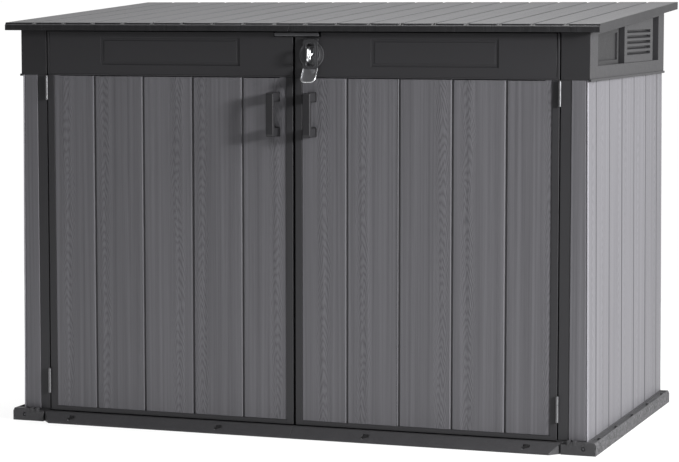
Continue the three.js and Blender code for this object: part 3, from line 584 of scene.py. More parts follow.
def sweep(shape, path, radius, closed=False, sides=16):
    """A round bar along a path of points."""
    points = [Vector(p) for p in path]
    count = len(points)
    rings = []
    normal = None
    for i, point in enumerate(points):
        ahead = points[(i + 1) % count] if closed or i < count - 1 else point
        behind = points[i - 1] if closed or i > 0 else point
        tangent = (ahead - behind).normalized()
        if normal is None:
            normal = tangent.orthogonal().normalized()
        normal = (normal - tangent * normal.dot(tangent)).normalized()
        side = tangent.cross(normal)
        rings.append([
            shape.verts.new(point + radius * (
                normal * math.cos(2 * math.pi * k / sides) + side * math.sin(2 * math.pi * k / sides)))
            for k in range(sides)])
    pairs = list(zip(rings, rings[1:]))
    if closed:
        last = rings[-1]
        first = rings[0]
        offset = min(range(sides), key=lambda k: (last[0].co - first[k].co).length)
        pairs.append((last, first[offset:] + first[:offset]))
    for low, high in pairs:
        for k in range(sides):
            j = (k + 1) % sides
            shape.faces.new((low[k], low[j], high[j], high[k]))
    if not closed:
        shape.faces.new(rings[0][::-1])
        shape.faces.new(rings[-1])
    return shape


def arc(centre, radius, start, end, steps=8):
    """Points round part of a circle, in degrees."""
    return [
        (centre[0] + radius * math.cos(math.radians(start + (end - start) * i / steps)),
         centre[1] + radius * math.sin(math.radians(start + (end - start) * i / steps)))
        for i in range(steps + 1)]


def round_rectangle(low, high, radius, steps=8):
    """Outline of a rectangle with round corners."""
    (a0, b0), (a1, b1) = low, high
    return (
        arc((a1 - radius, b0 + radius), radius, -90, 0, steps)
        + arc((a1 - radius, b1 - radius), radius, 0, 90, steps)
        + arc((a0 + radius, b1 - radius), radius, 90, 180, steps)
        + arc((a0 + radius, b0 + radius), radius, 180, 270, steps))


def plate(outlines, thickness, edge, matrix):
    """A flat plate with holes and softened edges: the first outline is outside."""
    drawing = bpy.data.curves.new("plate", "CURVE")
    drawing.dimensions = "2D"
    drawing.fill_mode = "BOTH"
    drawing.extrude = thickness / 2 - edge
    drawing.bevel_depth = edge
    drawing.bevel_resolution = 2
    drawing.offset = -edge
    for outline in outlines:
        spline = drawing.splines.new("POLY")
        spline.points.add(len(outline) - 1)
        spline.use_cyclic_u = True
        for point, (a, b) in zip(spline.points, outline):
            point.co = (a, b, 0, 1)
    holder = bpy.data.objects.new("plate", drawing)
    bpy.context.scene.collection.objects.link(holder)
    bpy.context.view_layer.update()
    mesh = bpy.data.meshes.new_from_object(holder.evaluated_get(bpy.context.evaluated_depsgraph_get()))
    bpy.data.objects.remove(holder)
    bpy.data.curves.remove(drawing)
    shape = bmesh.new()
    shape.from_mesh(mesh)
    bmesh.ops.remove_doubles(shape, verts=shape.verts, dist=0.005 * MM)
    bmesh.ops.transform(shape, matrix=matrix, verts=shape.verts)
    bpy.data.meshes.remove(mesh)
    return shape


def merge(shape, other):
    """Adds another shape's faces to a shape."""
    mesh = bpy.data.meshes.new("merge")
    other.to_mesh(mesh)
    other.free()
    shape.from_mesh(mesh)
    bpy.data.meshes.remove(mesh)
    return shape


def facing_front(x, y, z):
    """Sketch plane with its first axis along X, its second up and its thickness along Y."""
    return Matrix.Translation((x, y, z)) @ Matrix.Rotation(math.pi / 2, 4, "X")


def facing_side(x, y, z):
    """Sketch plane with its first axis along Y, its second up and its thickness along X."""
    return Matrix.Translation((x, y, z)) @ Matrix(
        ((0, 0, 1, 0), (1, 0, 0, 0), (0, 1, 0, 0), (0, 0, 0, 1)))


def screw(name, place, outward, body, radius=None, finish="zinc"):
    """A pan-head screw with a cross recess, standing on a face."""
    radius = radius or settings().sizes.screw_radius
    dome = [
        (0, -0.6 * radius), (0.45 * radius, -0.6 * radius), (0.45 * radius, -0.05 * radius),
        (radius, 0), (radius, 0.12 * radius)]
    dome += [
        (radius * math.cos(math.radians(a)), radius * (0.12 + 0.42 * math.sin(math.radians(a))))
        for a in (20, 40, 60, 78)]
    dome.append((0, 0.54 * radius))
    shape = lathe(bmesh.new(), dome, "Z", Vector((0, 0, 0)), 28)
    cross = bmesh.new()
    arm = 0.56 * radius
    slot = 0.11 * radius
    add_block(cross, (-arm, -slot, 0.2 * radius), (arm, slot, radius))
    second = bmesh.new()
    add_block(second, (-slot, -arm, 0.2 * radius), (slot, arm, radius))
    mesh = carve(carve(to_mesh(shape, name), cross), second)
    turn = Vector(outward).to_track_quat("Z", "Y").to_matrix().to_4x4()
    mesh.transform(Matrix.Translation(place) @ turn @ Matrix.Rotation(0.6, 4, "Z"))
    return new_piece(name, mesh, finish, body)


# ------------------------------------------------------------------ operators


class BuildOperator(bpy.types.Operator):
    """Common options of the building steps."""

    bl_options = {"REGISTER", "UNDO"}


class STORAGE_OT_stage(BuildOperator):
    """Makes the camera, the pale floor and the studio lights."""

    bl_idname = "storage_box.stage"
    bl_label = "Stage"

    def execute(self, context):
        make_finishes()
        self.camera(context)
        self.floor()
        self.lights(context)
        return {"FINISHED"}

    def camera(self, context):
        """Stands in front and to the right, a little above half height."""
        lens = bpy.data.cameras.new("front_right_camera")
        lens.sensor_width = 36
        lens.lens = 127.15
        lens.clip_start = 0.1
        lens.clip_end = 100
        camera = bpy.data.objects.new("front_right_camera", lens)
        camera.location = (2.5661, -7.2854, 1.3094)
        camera.rotation_euler = (math.radians(90 - 5.3432), 0, math.radians(19.6254))
        context.scene.collection.objects.link(camera)
        context.scene.camera = camera

    def floor(self):
        shape = bmesh.new()
        bmesh.ops.create_grid(shape, x_segments=2, y_segments=2, size=3.2)
        mesh = bpy.data.meshes.new("stage_floor")
        shape.to_mesh(mesh)
        shape.free()
        floor = bpy.data.objects.new("stage_floor", mesh)
        mesh.materials.append(FINISHES["stage"])
        bpy.context.scene.collection.objects.link(floor)

    def lights(self, context):
        """A white cove behind, a dim room in front, and the key from the right."""
        context.scene.view_settings.view_transform = "Standard"
        world = bpy.data.worlds.new("studio")
        world.use_nodes = True
        tree = world.node_tree
        direction = tree.nodes.new("ShaderNodeTexCoord")
        parts = tree.nodes.new("ShaderNodeSeparateXYZ")
        fall = tree.nodes.new("ShaderNodeMapRange")
        fall.interpolation_type = "SMOOTHSTEP"
        for name, value in (("From Min", -0.3), ("From Max", 0.35), ("To Min", 0.15), ("To Max", 1.02)):
            fall.inputs[name].default_value = value
        background = tree.nodes["Background"]
        background.inputs["Color"].default_value = (1, 1, 1, 1)
        tree.links.new(direction.outputs["Generated"], parts.inputs[0])
        tree.links.new(parts.outputs["Y"], fall.inputs["Value"])
        tree.links.new(fall.outputs[0], background.inputs["Strength"])
        context.scene.world = world
        self.lamp("right_key", (4.2, -0.8, 2.7), (0.9, 0, 0.6), 1.8, 152)
        self.lamp("top_light", (0.2, 0.9, 5.0), (0, 0, 1.2), 3.4, 370)
        self.lamp("front_fill", (5.6, -2.6, 2.2), (0.2, -0.5, 0.6), 0.9, 440)

    def lamp(self, name, place, target, size, power):
        light = bpy.data.lights.new(name, "AREA")
        light.shape = "DISK"
        light.size = size
        light.energy = power
        lamp = bpy.data.objects.new(name, light)
        lamp.location = place
        aim = Vector(target) - Vector(place)
        lamp.rotation_euler = aim.to_track_quat("-Z", "Y").to_euler()
        bpy.context.scene.collection.objects.link(lamp)


class STORAGE_OT_base(BuildOperator):
    """Makes the two floor halves and the ramp along the front."""

    bl_idname = "storage_box.base"
    bl_label = "Base and ramp"

    def execute(self, context):
        for side, sign in SIDES:
            shell(f"floor_{side}", "base", 0.7 * MM)
            self.ramp(side, sign)
            self.screws(side, sign)
        return {"FINISHED"}

    def ramp(self, side, sign):
        """The ramp, worked up from its node with rounded edges."""
        shell(f"threshold_{side}", "base", 1.5 * MM)

    def screws(self, side, sign):
        """Slanting screw slots in the ramp, and the screws and clips of the corner block."""
        low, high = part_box(f"threshold_{side}")
        for i, x in enumerate((0.24, 0.74)):
            middle = Vector((sign * x, low.y + 14 * MM, 18.5 * MM))
            lean = Matrix.Rotation(math.radians(-40), 4, "X") @ Matrix.Rotation(math.radians(-35), 4, "Y")
            slot = plate([round_rectangle((-11 * MM, -4 * MM), (11 * MM, 4 * MM), 3.9 * MM, 6)], 3 * MM,
                         0.4 * MM, Matrix.Translation(middle) @ lean @ Matrix.Rotation(math.pi / 2, 4, "X"))
            # Each slot is a near-black plate: painted shade for its hollow.
            new_piece(f"ramp_slot_{side}_{i + 1}", to_mesh(slot, "ramp_slot"), "slot_shade", "carcass")
            place = middle + Vector((-9 * MM, -5 * MM, -7 * MM))
            screw(f"ramp_screw_{side}_{i + 1}", place, (0, -0.8, 0.6), "carcass", 2.6 * MM, "chrome")
        floor_low, floor_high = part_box(f"floor_{side}")
        corner = Vector((sign * 0.91, floor_low.y + 3.4 * MM, 0.02))
        screw(f"corner_screw_{side}", corner, (0, -1, 0), "carcass", 4.6 * MM, "coated")
        ledge = Vector((sign * 0.938, 0.5, 35.6 * MM))
        screw(f"ledge_screw_{side}", ledge, (0, 0, 1), "carcass", 4.2 * MM, "coated")
        for i, x in enumerate((0.866, 0.884)):
            clip = bmesh.new()
            add_block(clip, (sign * x - 5 * MM, floor_low.y - 1 * MM, 27 * MM),
                      (sign * x + 5 * MM, floor_low.y + 12 * MM, floor_high.z + 1.2 * MM))
            round_edges(clip, 1.6 * MM)
            new_piece(f"corner_clip_{side}_{i + 1}", to_mesh(clip, "corner_clip"), "base", "carcass")

class STORAGE_OT_walls(BuildOperator):
    """Makes the side and rear walls, the jambs and the friezes."""

    bl_idname = "storage_box.walls"
    bl_label = "Walls and friezes"

    def execute(self, context):
        for side, sign in SIDES:
            self.side_wall(side, sign)
            self.rear_wall(side, sign)
            shell(f"door_jamb_{side}", "charcoal", 0.8 * MM)
            self.side_frieze(side)
            shell(f"vent_louvre_{side}", "painted_shade_charcoal", 0.8 * MM)
        shell("rear_frieze", "charcoal", 1.2 * MM)
        self.rear_joint()
        return {"FINISHED"}

    def rear_joint(self):
        """A strip inside that covers the joint between the two rear walls."""
        low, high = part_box("rear_wall_right")
        strip = bmesh.new()
        add_block(strip, (-11 * MM, high.y - 6.5 * MM, low.z + 1 * MM), (11 * MM, high.y - 3 * MM, high.z - 1 * MM))
        round_edges(strip, 0.8 * MM)
        new_piece("rear_joint_strip", to_mesh(strip, "rear_joint_strip"), "rear_boards", "carcass",
                  slot=SLOT_OF["rear_wall_right"])

    def side_frieze(self, side):
        """The frieze; its sunk pane and the gaps beside the vent get a darker finish: painted shade."""
        node = f"side_frieze_{side}"
        piece = shell(node, "painted_shade_charcoal", 1.2 * MM)
        piece.data.materials.append(FINISHES["recess"])
        low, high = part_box(node)
        outside = max(abs(low.x), abs(high.x)) - 10 * MM
        for face in piece.data.polygons:
            if abs(face.normal.x) > 0.5 and outside - 0.02 < abs(face.center.x) < outside and (
                    face.center.z > low.z + 0.03):
                face.material_index = 1

    def side_wall(self, side, sign):
        """Five lines that lean in with the wall, and a bead up each corner."""
        node = f"side_wall_{side}"
        low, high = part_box(node)
        face = high.x if sign > 0 else low.x
        lean = Vector((-sign * WALL_BATTER, 0, high.z - low.z))
        first, pitch = SIDE_BOARDS
        foot = Vector((face, 0, low.z)) - 0.01 * lean
        lines = board_cutters(
            bmesh.new(), [sign * (first + pitch * i) for i in range(5)], foot,
            (0, sign, 0), lean, 1.02 * lean.length, 3 * MM)
        corner = Vector((face, low.y, low.z))
        rebate = bmesh.new()
        size = 7 * MM
        square = [(-0.002, -0.002), (size, -0.002), (size, size), (-0.002, size)]
        ends = [
            [rebate.verts.new(corner + lean * run + Vector((-sign * a, b, 0))) for a, b in square]
            for run in (-0.01, 1.01)]
        rebate.faces.new(ends[0])
        rebate.faces.new(ends[1][::-1])
        for i in range(4):
            j = (i + 1) % 4
            rebate.faces.new((ends[0][i], ends[1][i], ends[1][j], ends[0][j]))
        shell(node, "side_boards", 2.0 * MM, 3, [lines, rebate])
        # The corner bead is pale and glossy: a painted highlight up each corner.
        radius = 3.1 * MM
        centre = corner + Vector((-sign * radius, radius, 0))
        bead = sweep(bmesh.new(), [centre + lean * run for run in (0, 0.5, 1)], radius, sides=20)
        new_piece(f"corner_bead_{side}", to_mesh(bead, "corner_bead"), "bead", BODY_OF[node], slot=SLOT_OF[node])

    def rear_wall(self, side, sign):
        low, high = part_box(f"rear_wall_{side}")
        first, pitch = REAR_BOARDS
        cutters = board_cutters(
            bmesh.new(), [-sign * (first + pitch * i) for i in range(4)],
            Vector((0, high.y, low.z - 5 * MM)), (-1, 0, 0), (0, 0, 1), 1.2, 3 * MM)
        shell(f"rear_wall_{side}", "rear_boards", 1.0 * MM, 2, [cutters])


class STORAGE_OT_lid(BuildOperator):
    """Makes the two halves of the roof lid and the rails that join them."""

    bl_idname = "storage_box.lid"
    bl_label = "Roof lid"

    def execute(self, context):
        for side, sign in SIDES:
            shell(f"lid_panel_{side}", "roof_boards", 1.0 * MM, 2, [self.lines(sign), self.eave(sign), self.notches(sign)])
        shell("lid_seam_rail", "coated", 0.8 * MM)
        shell("lid_front_rail", "coated", 0.8 * MM)
        shell("lid_keeper", "keeper", 1.6 * MM, 3)
        return {"FINISHED"}

    def lines(self, sign):
        """Cutters for the board lines, which run down the slope."""
        first, pitch = ROOF_BOARDS
        run = Vector((0, LID_HIGH.y - LID_LOW.y, ROOF_RISE))
        start = Vector((0, LID_LOW.y, LID_HIGH.z - ROOF_RISE)) - run.normalized() * 0.01
        return board_cutters(
            bmesh.new(), [sign * (first + pitch * i) for i in range(9)],
            start, (1, 0, 0), run, run.length + 0.02, 4.5 * MM)

    def eave(self, sign):
        """Cutter along the front eave: boards end at a step above a sloping lip."""
        slope = self.slope()
        profile = [
            (5 * MM, 12 * MM), (5 * MM, -4.4 * MM), (2.6 * MM, -4.8 * MM), (-1 * MM, -8.4 * MM), (-8 * MM, 12 * MM)]
        shape = bmesh.new()
        ends = [
            [shape.verts.new(slope @ Vector((x, y, z))) for y, z in profile]
            for x in (-0.2 * MM * sign, 1.2 * sign)]
        shape.faces.new(ends[0])
        shape.faces.new(ends[1][::-1])
        for i in range(len(profile)):
            j = (i + 1) % len(profile)
            shape.faces.new((ends[0][i], ends[1][i], ends[1][j], ends[0][j]))
        return shape

    def notches(self, sign):
        """Cutters for the sloping notch at the front and the square one at the rear of each line."""
        sizes = settings().sizes
        slope = self.slope()
        half = sizes.notch_width / 2
        first, pitch = ROOF_BOARDS
        shape = bmesh.new()
        for i in range(9):
            x = sign * (first + pitch * i)
            wedge = [(-8 * MM, -4.5 * MM), (6 * MM, -4.5 * MM), (34 * MM, 0.5 * MM), (-8 * MM, 0.5 * MM)]
            ends = [
                [shape.verts.new(slope @ Vector((x + side * half, y, z))) for y, z in wedge]
                for side in (-1, 1)]
            shape.faces.new(ends[0])
            shape.faces.new(ends[1][::-1])
            for k in range(4):
                j = (k + 1) % 4
                shape.faces.new((ends[0][k], ends[1][k], ends[1][j], ends[0][j]))
            add_block(
                shape, (x - half, LID_HIGH.y - 3.4 * MM, LID_HIGH.z - sizes.notch_depth),
                (x + half, LID_HIGH.y + 0.01, LID_HIGH.z + 0.01))
        return shape

    def slope(self):
        """Places X along the front eave and Y up the roof."""
        return Matrix.Translation((0, LID_LOW.y, LID_HIGH.z - ROOF_RISE)) @ Matrix.Rotation(
            math.atan2(ROOF_RISE, LID_HIGH.y - LID_LOW.y), 4, "X")


class STORAGE_OT_lid_hinge(BuildOperator):
    """Makes the hinge brackets and the rod that the lid turns on."""

    bl_idname = "storage_box.lid_hinge"
    bl_label = "Lid hinge"

    def execute(self, context):
        pivot = Vector(JOINT["lid_hinge"]["pos_m"])
        for i in range(1, 5):
            node = f"lid_hinge_bracket_{i}"
            shell(node, "charcoal", 0.7 * MM)
            low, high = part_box(node)
            for k, x in enumerate((low.x + 9 * MM, high.x - 9 * MM)):
                place = Vector((0.5 * (low.x + high.x) + (k - 0.5) * 12 * MM, low.y + 4 * MM, low.z + 10 * MM))
                screw(f"hinge_screw_{i}_{k + 1}", place, (0, 1, 0), "carcass", 3.4 * MM)
        low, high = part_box("lid_hinge_rod")
        shape = lathe(
            bmesh.new(), rounded_bar(3 * MM, low.x, high.x, 0.8 * MM), "X",
            Vector((0, pivot.y, pivot.z)), 28)
        new_piece("hinge_rod", to_mesh(shape, "hinge_rod"), "zinc", "carcass", "lid_hinge_rod")
        return {"FINISHED"}


class STORAGE_OT_doors(BuildOperator):
    """Makes the door frames, their boards and their top friezes."""

    bl_idname = "storage_box.doors"
    bl_label = "Doors"

    def execute(self, context):
        for side, sign in SIDES:
            shell(f"door_frame_{side}", "charcoal", 1.2 * MM)
            self.boards(side, sign)
            self.frieze(side)
        return {"FINISHED"}

    def frieze(self, side):
        """The frieze, with a bead along its foot and a fine line up its outer edge."""
        node = f"door_frieze_{side}"
        low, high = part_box(node)
        outer = low.x if side == "left" else high.x
        inward = 1 if side == "left" else -1
        line = bmesh.new()
        x = sorted((outer + inward * 6.5 * MM, outer + inward * 8.5 * MM))
        add_block(line, (x[0], low.y - 0.01, low.z + 8 * MM), (x[1], low.y + 1.8 * MM, high.z + 0.01))
        shell(node, "charcoal", 1.2 * MM, 2, [line])
        radius = 2.4 * MM
        start = Vector((low.x + radius, low.y + 1.2 * MM, low.z + radius))
        end = Vector((high.x - radius, start.y, start.z))
        bead = sweep(bmesh.new(), [start, (start + end) / 2, end], radius, sides=20)
        new_piece(f"frieze_bead_{side}", to_mesh(bead, "frieze_bead"), "charcoal", BODY_OF[node],
                  slot=SLOT_OF[node])

    def boards(self, side, sign):
        low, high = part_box(f"door_panel_{side}")
        first, pitch = DOOR_BOARDS
        lines = board_cutters(
            bmesh.new(), [sign * (first + pitch * i) for i in range(4)],
            Vector((0, low.y, low.z - 5 * MM)), (1, 0, 0), (0, 0, 1), 1.2, 4.9 * MM)
        gap = bmesh.new()
        add_block(gap, (low.x + 0.02, low.y - 0.01, FRIEZE_LOW.z - 3 * MM),
                  (high.x - 0.02, low.y + 4.4 * MM, high.z + 0.01))
        shell(f"door_panel_{side}", "door_boards", 1.0 * MM, 2, [lines, gap])


class STORAGE_OT_door_hinges(BuildOperator):
    """Makes the knuckled hinges in the gap beside each door."""

    bl_idname = "storage_box.door_hinges"
    bl_label = "Door hinges"

    def execute(self, context):
        for side, sign in SIDES:
            pivot = Vector(JOINT[f"door_{side}_hinge"]["pos_m"])
            for height in ("lower", "upper"):
                self.hinge(side, sign, height, pivot)
        return {"FINISHED"}

    def hinge(self, side, sign, height, pivot):
        fixed = f"{height}_hinge_leaf_fixed_{side}"
        moving = f"{height}_hinge_leaf_door_{side}"
        low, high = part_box(fixed)
        third = (high.z - low.z) / 3
        gap = 0.3 * MM
        spans = {
            fixed: [(low.z, low.z + third - gap), (high.z - third + gap, high.z)],
            moving: [(low.z + third + gap, high.z - third - gap)],
        }
        for node, knuckles in spans.items():
            shape = bmesh.new()
            for start, end in knuckles:
                lathe(shape, rounded_tube(4.5 * MM, 2.4 * MM, start, end, 0.5 * MM), "Z",
                      Vector((pivot.x, pivot.y, 0)), 32)
            outward = sign if node == fixed else -sign
            self.leaf(shape, pivot, outward, low, high, knuckles)
            new_piece(f"{height}_{'jamb' if node == fixed else 'door'}_leaf_{side}", to_mesh(shape, node),
                      "zinc", BODY_OF[node], node)
        pin = f"{height}_hinge_pin_{side}"
        pin_low, pin_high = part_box(pin)
        profile = [(0, pin_low.z), (1.5 * MM, pin_low.z), (2 * MM, pin_low.z + 0.5 * MM),
                   (2 * MM, pin_high.z - 2 * MM), (3.6 * MM, pin_high.z - 2 * MM),
                   (3.6 * MM, pin_high.z - 0.8 * MM), (2.6 * MM, pin_high.z), (0, pin_high.z)]
        shape = lathe(bmesh.new(), profile, "Z", Vector((pivot.x, pivot.y, 0)), 28)
        new_piece(f"{height}_pin_{side}", to_mesh(shape, pin), "zinc", BODY_OF[pin], pin)

    def leaf(self, shape, pivot, outward, low, high, knuckles):
        """The flat leaf and the tabs that wrap into its knuckles."""
        near = pivot.x + outward * 0.6 * MM
        far = pivot.x + outward * 1.8 * MM
        x = sorted((near, far))
        y0 = DOOR_FACE + 0.6 * MM
        holes = [
            [(y0 + 14 * MM + 2.6 * MM * math.cos(math.radians(a)), z + 2.6 * MM * math.sin(math.radians(a)))
             for a in range(0, 360, 20)]
            for z in (low.z + 12 * MM, high.z - 12 * MM)]
        outline = round_rectangle((y0, low.z), (y0 + 23.4 * MM, high.z), 3 * MM, 5)
        leaf = plate([outline, *holes], 1.2 * MM, 0.25 * MM, facing_side((x[0] + x[1]) / 2, 0, 0))
        merge(shape, leaf)
        for start, end in knuckles:
            tab = bmesh.new()
            add_block(tab, (x[0], pivot.y, start + 0.4 * MM), (x[1], y0 + 1 * MM, end - 0.4 * MM))
            merge(shape, tab)


class STORAGE_OT_handles(BuildOperator):
    """Makes the two D-shaped pull handles."""

    bl_idname = "storage_box.handles"
    bl_label = "Handles"

    def execute(self, context):
        for side, sign in SIDES:
            self.handle(side)
        return {"FINISHED"}

    def handle(self, side):
        node = f"door_handle_{side}"
        low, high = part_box(node)
        foot = high.y
        front = low.y
        z0 = low.z + 1 * MM
        z1 = high.z - 1 * MM
        middle = (low.x + high.x) / 2
        corner = 9 * MM
        thick = 14 * MM
        inner = 7 * MM
        outline = [(foot, z0), (foot, z0 + 26 * MM)]
        outline += arc((foot - 6 * MM, z0 + 26 * MM + 3 * MM), 3 * MM, -90, -91, 1)
        outline = (
            [(foot, z0), (foot, z0 + 27 * MM)]
            + [(y, z) for y, z in arc((front + thick + inner, z0 + 27 * MM + inner), inner, 270, 180, 6)]
            + [(y, z) for y, z in arc((front + thick + inner, z1 - 27 * MM - inner), inner, 180, 90, 6)]
            + [(foot, z1 - 27 * MM), (foot, z1)]
            + arc((front + corner, z1 - corner), corner, 90, 180, 8)
            + arc((front + corner, z0 + corner), corner, 180, 270, 8))
        shape = plate([outline], high.x - low.x - 6 * MM, 2.6 * MM, facing_side(middle, 0, 0))
        for start, end in ((low.z, low.z + 30 * MM), (high.z - 30 * MM, high.z)):
            foot_outline = round_rectangle((-15 * MM, start), (15 * MM, end), 4 * MM, 5)
            merge(shape, plate([foot_outline], 3 * MM, 0.8 * MM, facing_front(middle, foot - 1.5 * MM, 0)))
        new_piece(f"grip_{side}", to_mesh(shape, node), "handle", BODY_OF[node], node)


class STORAGE_OT_latch(BuildOperator):
    """Makes the hasp, its hinge, and the turning staple on its round base."""

    bl_idname = "storage_box.latch"
    bl_label = "Latch"

    def execute(self, context):
        self.rosette()
        self.leaf()
        self.hasp()
        self.staple()
        return {"FINISHED"}

    def rosette(self):
        low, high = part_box("staple_base")
        back = high.y
        profile = [
            (5.6, 0), (38.6, 0), (39.7, 0.5), (40, 1.2), (39.6, 2.3), (38.6, 2.9), (36.4, 3.0),
            (34.8, 2.4), (33.0, 2.4), (31.5, 3.0), (28.6, 3.1), (27.4, 3.8), (26.9, 5.0), (26.0, 5.6),
            (24.6, 5.7), (22.5, 5.3), (20.5, 5.3), (19.0, 5.7), (6.4, 5.7), (5.6, 5.1), (5.6, 0)]
        shape = lathe(
            bmesh.new(), [(r * MM, -y * MM) for r, y in profile], "Y",
            Vector((STAPLE_PIVOT.x, back, STAPLE_PIVOT.z)), 72)
        seat = bmesh.new()
        add_block(
            seat, (STAPLE_PIVOT.x - 22.5 * MM, back - 0.02, 1.195),
            (STAPLE_PIVOT.x + 22.5 * MM, back + 0.01, 1.21))
        mesh = carve(to_mesh(shape, "rosette"), seat)
        new_piece("staple_rosette", mesh, "rosette", "door_right", "staple_base")

    def leaf(self):
        low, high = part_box("hasp_leaf")
        outline = round_rectangle((low.x, low.z), (high.x, low.z + 19.5 * MM), 2.5 * MM, 5)
        shape = plate([outline], 2 * MM, 0.4 * MM, facing_front(0, DOOR_FACE - 1.3 * MM, 0))
        ends = ((low.x, HASP_PIVOT.x - 10.5 * MM), (HASP_PIVOT.x + 10.5 * MM, high.x))
        for start, end in ends:
            lathe(shape, rounded_tube(4.2 * MM, 1.9 * MM, start, end, 0.5 * MM), "X",
                  Vector((0, HASP_PIVOT.y, HASP_PIVOT.z)), 32)
            tab = bmesh.new()
            add_block(tab, (start + 0.4 * MM, HASP_PIVOT.y + 2.5 * MM, HASP_PIVOT.z - 1.6 * MM),
                      (end - 0.4 * MM, DOOR_FACE - 1.5 * MM, HASP_PIVOT.z + 1.6 * MM))
            merge(shape, tab)
        new_piece("hasp_hinge_leaf", to_mesh(shape, "hasp_leaf"), "hasp", "door_right", "hasp_leaf")
        pin_low, pin_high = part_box("hasp_pin")
        shape = lathe(bmesh.new(), rounded_bar(1.5 * MM, pin_low.x, pin_high.x - 1 * MM, 0.4 * MM), "X",
                      Vector((0, HASP_PIVOT.y, HASP_PIVOT.z)), 24)
        lathe(shape, rounded_bar(2.8 * MM, pin_high.x - 2 * MM, pin_high.x, 0.6 * MM), "X",
              Vector((0, HASP_PIVOT.y, HASP_PIVOT.z)), 24)
        new_piece("hasp_hinge_pin", to_mesh(shape, "hasp_pin"), "zinc", "door_right", "hasp_pin")

    def hasp(self):
        """A pressed plate with a slot, a knuckle at its top and a cupped pull at its foot."""
        low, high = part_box("hasp_plate")
        back = DOOR_FACE - 11 * MM
        x = HASP_PIVOT.x
        half = (high.x - low.x) / 2
        bend = 1.122
        top = HASP_PIVOT.z - 0.5 * MM
        outline = (
            [(x - half, bend - 4 * MM), (x + half, bend - 4 * MM)]
            + arc((x + half - 9 * MM, top - 9 * MM), 9 * MM, 0, 90, 6)
            + arc((x - half + 9 * MM, top - 9 * MM), 9 * MM, 90, 180, 6))
        slot = round_rectangle((x - 12 * MM, 1.131), (x + 12 * MM, 1.199), 8 * MM, 6)
        shape = plate([outline, slot], 2.5 * MM, 0.6 * MM, facing_front(0, back - 1.25 * MM, 0))
        rim = [(a, back - 2.6 * MM, b) for a, b in
               round_rectangle((x - 15.5 * MM, 1.1275), (x + 15.5 * MM, 1.2025), 10 * MM, 6)]
        sweep(shape, rim, 1.3 * MM, closed=True, sides=10)
        lathe(shape, rounded_tube(4.2 * MM, 1.9 * MM, x - 10 * MM, x + 10 * MM, 0.5 * MM), "X",
              Vector((0, HASP_PIVOT.y, HASP_PIVOT.z)), 32)
        lug = bmesh.new()
        add_block(lug, (x - 9.6 * MM, back - 2 * MM, HASP_PIVOT.z - 3 * MM),
                  (x + 9.6 * MM, HASP_PIVOT.y - 2.5 * MM, HASP_PIVOT.z + 1.6 * MM))
        merge(shape, lug)
        self.pull(x, half, back, bend)
        new_piece("hasp_strap", to_mesh(shape, "hasp_plate"), "hasp", "hasp", "hasp_plate")

    def pull(self, x, half, back, bend):
        """The finger pull leans out from the plate's foot; a bright bead runs round it."""
        drop = 40 * MM
        lean = math.atan2(27 * MM, drop)
        length = math.hypot(27 * MM, drop)
        tilt = Matrix.Translation((x, back - 1.25 * MM, bend)) @ Matrix.Rotation(-lean, 4, "X")
        u_line = (
            [(half - 1.5 * MM, 1 * MM)]
            + arc((half - 16 * MM, -length + 16 * MM), 14.5 * MM, 0, -90, 8)
            + arc((-half + 16 * MM, -length + 16 * MM), 14.5 * MM, -90, -180, 8)
            + [(-half + 1.5 * MM, 1 * MM)])
        cup = [(half, 2 * MM)] + arc((half - 16 * MM, -length + 16 * MM), 16 * MM, 0, -90, 8)
        cup += arc((-half + 16 * MM, -length + 16 * MM), 16 * MM, -90, -180, 8) + [(-half, 2 * MM)]
        tab = plate([cup], 2.5 * MM, 0.6 * MM, tilt @ Matrix.Rotation(math.pi / 2, 4, "X"))
        new_piece("hasp_pull", to_mesh(tab, "hasp_pull"), "pull", "hasp")
        bead = bmesh.new()
        path = [tilt @ Vector((a, -2.2 * MM, b)) for a, b in u_line]
        sweep(bead, path, 2.3 * MM, sides=14)
        new_piece("hasp_pull_bead", to_mesh(bead, "hasp_pull_bead"), "chrome", "hasp")

    def staple(self):
        low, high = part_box("swivel_staple")
        x = STAPLE_PIVOT.x
        radius = settings().sizes.wire_radius
        back = DOOR_FACE - 14 * MM
        path = [(x, y, z) for y, z in round_rectangle(
            (low.y + radius, low.z + radius), (back - radius, high.z - radius), 8 * MM, 8)]
        shape = sweep(bmesh.new(), path, radius, closed=True, sides=18)
        profile = [
            (0, -0.7), (4.9, -0.7), (4.9, -12.6), (6.4, -13.4), (6.4, -14.8), (5.2, -16.2), (0, -16.6)]
        lathe(shape, [(r * MM, y * MM) for r, y in profile], "Y",
              Vector((x, DOOR_FACE, STAPLE_PIVOT.z)), 32)
        new_piece("staple_eye", to_mesh(shape, "swivel_staple"), "chrome", "staple", "swivel_staple")


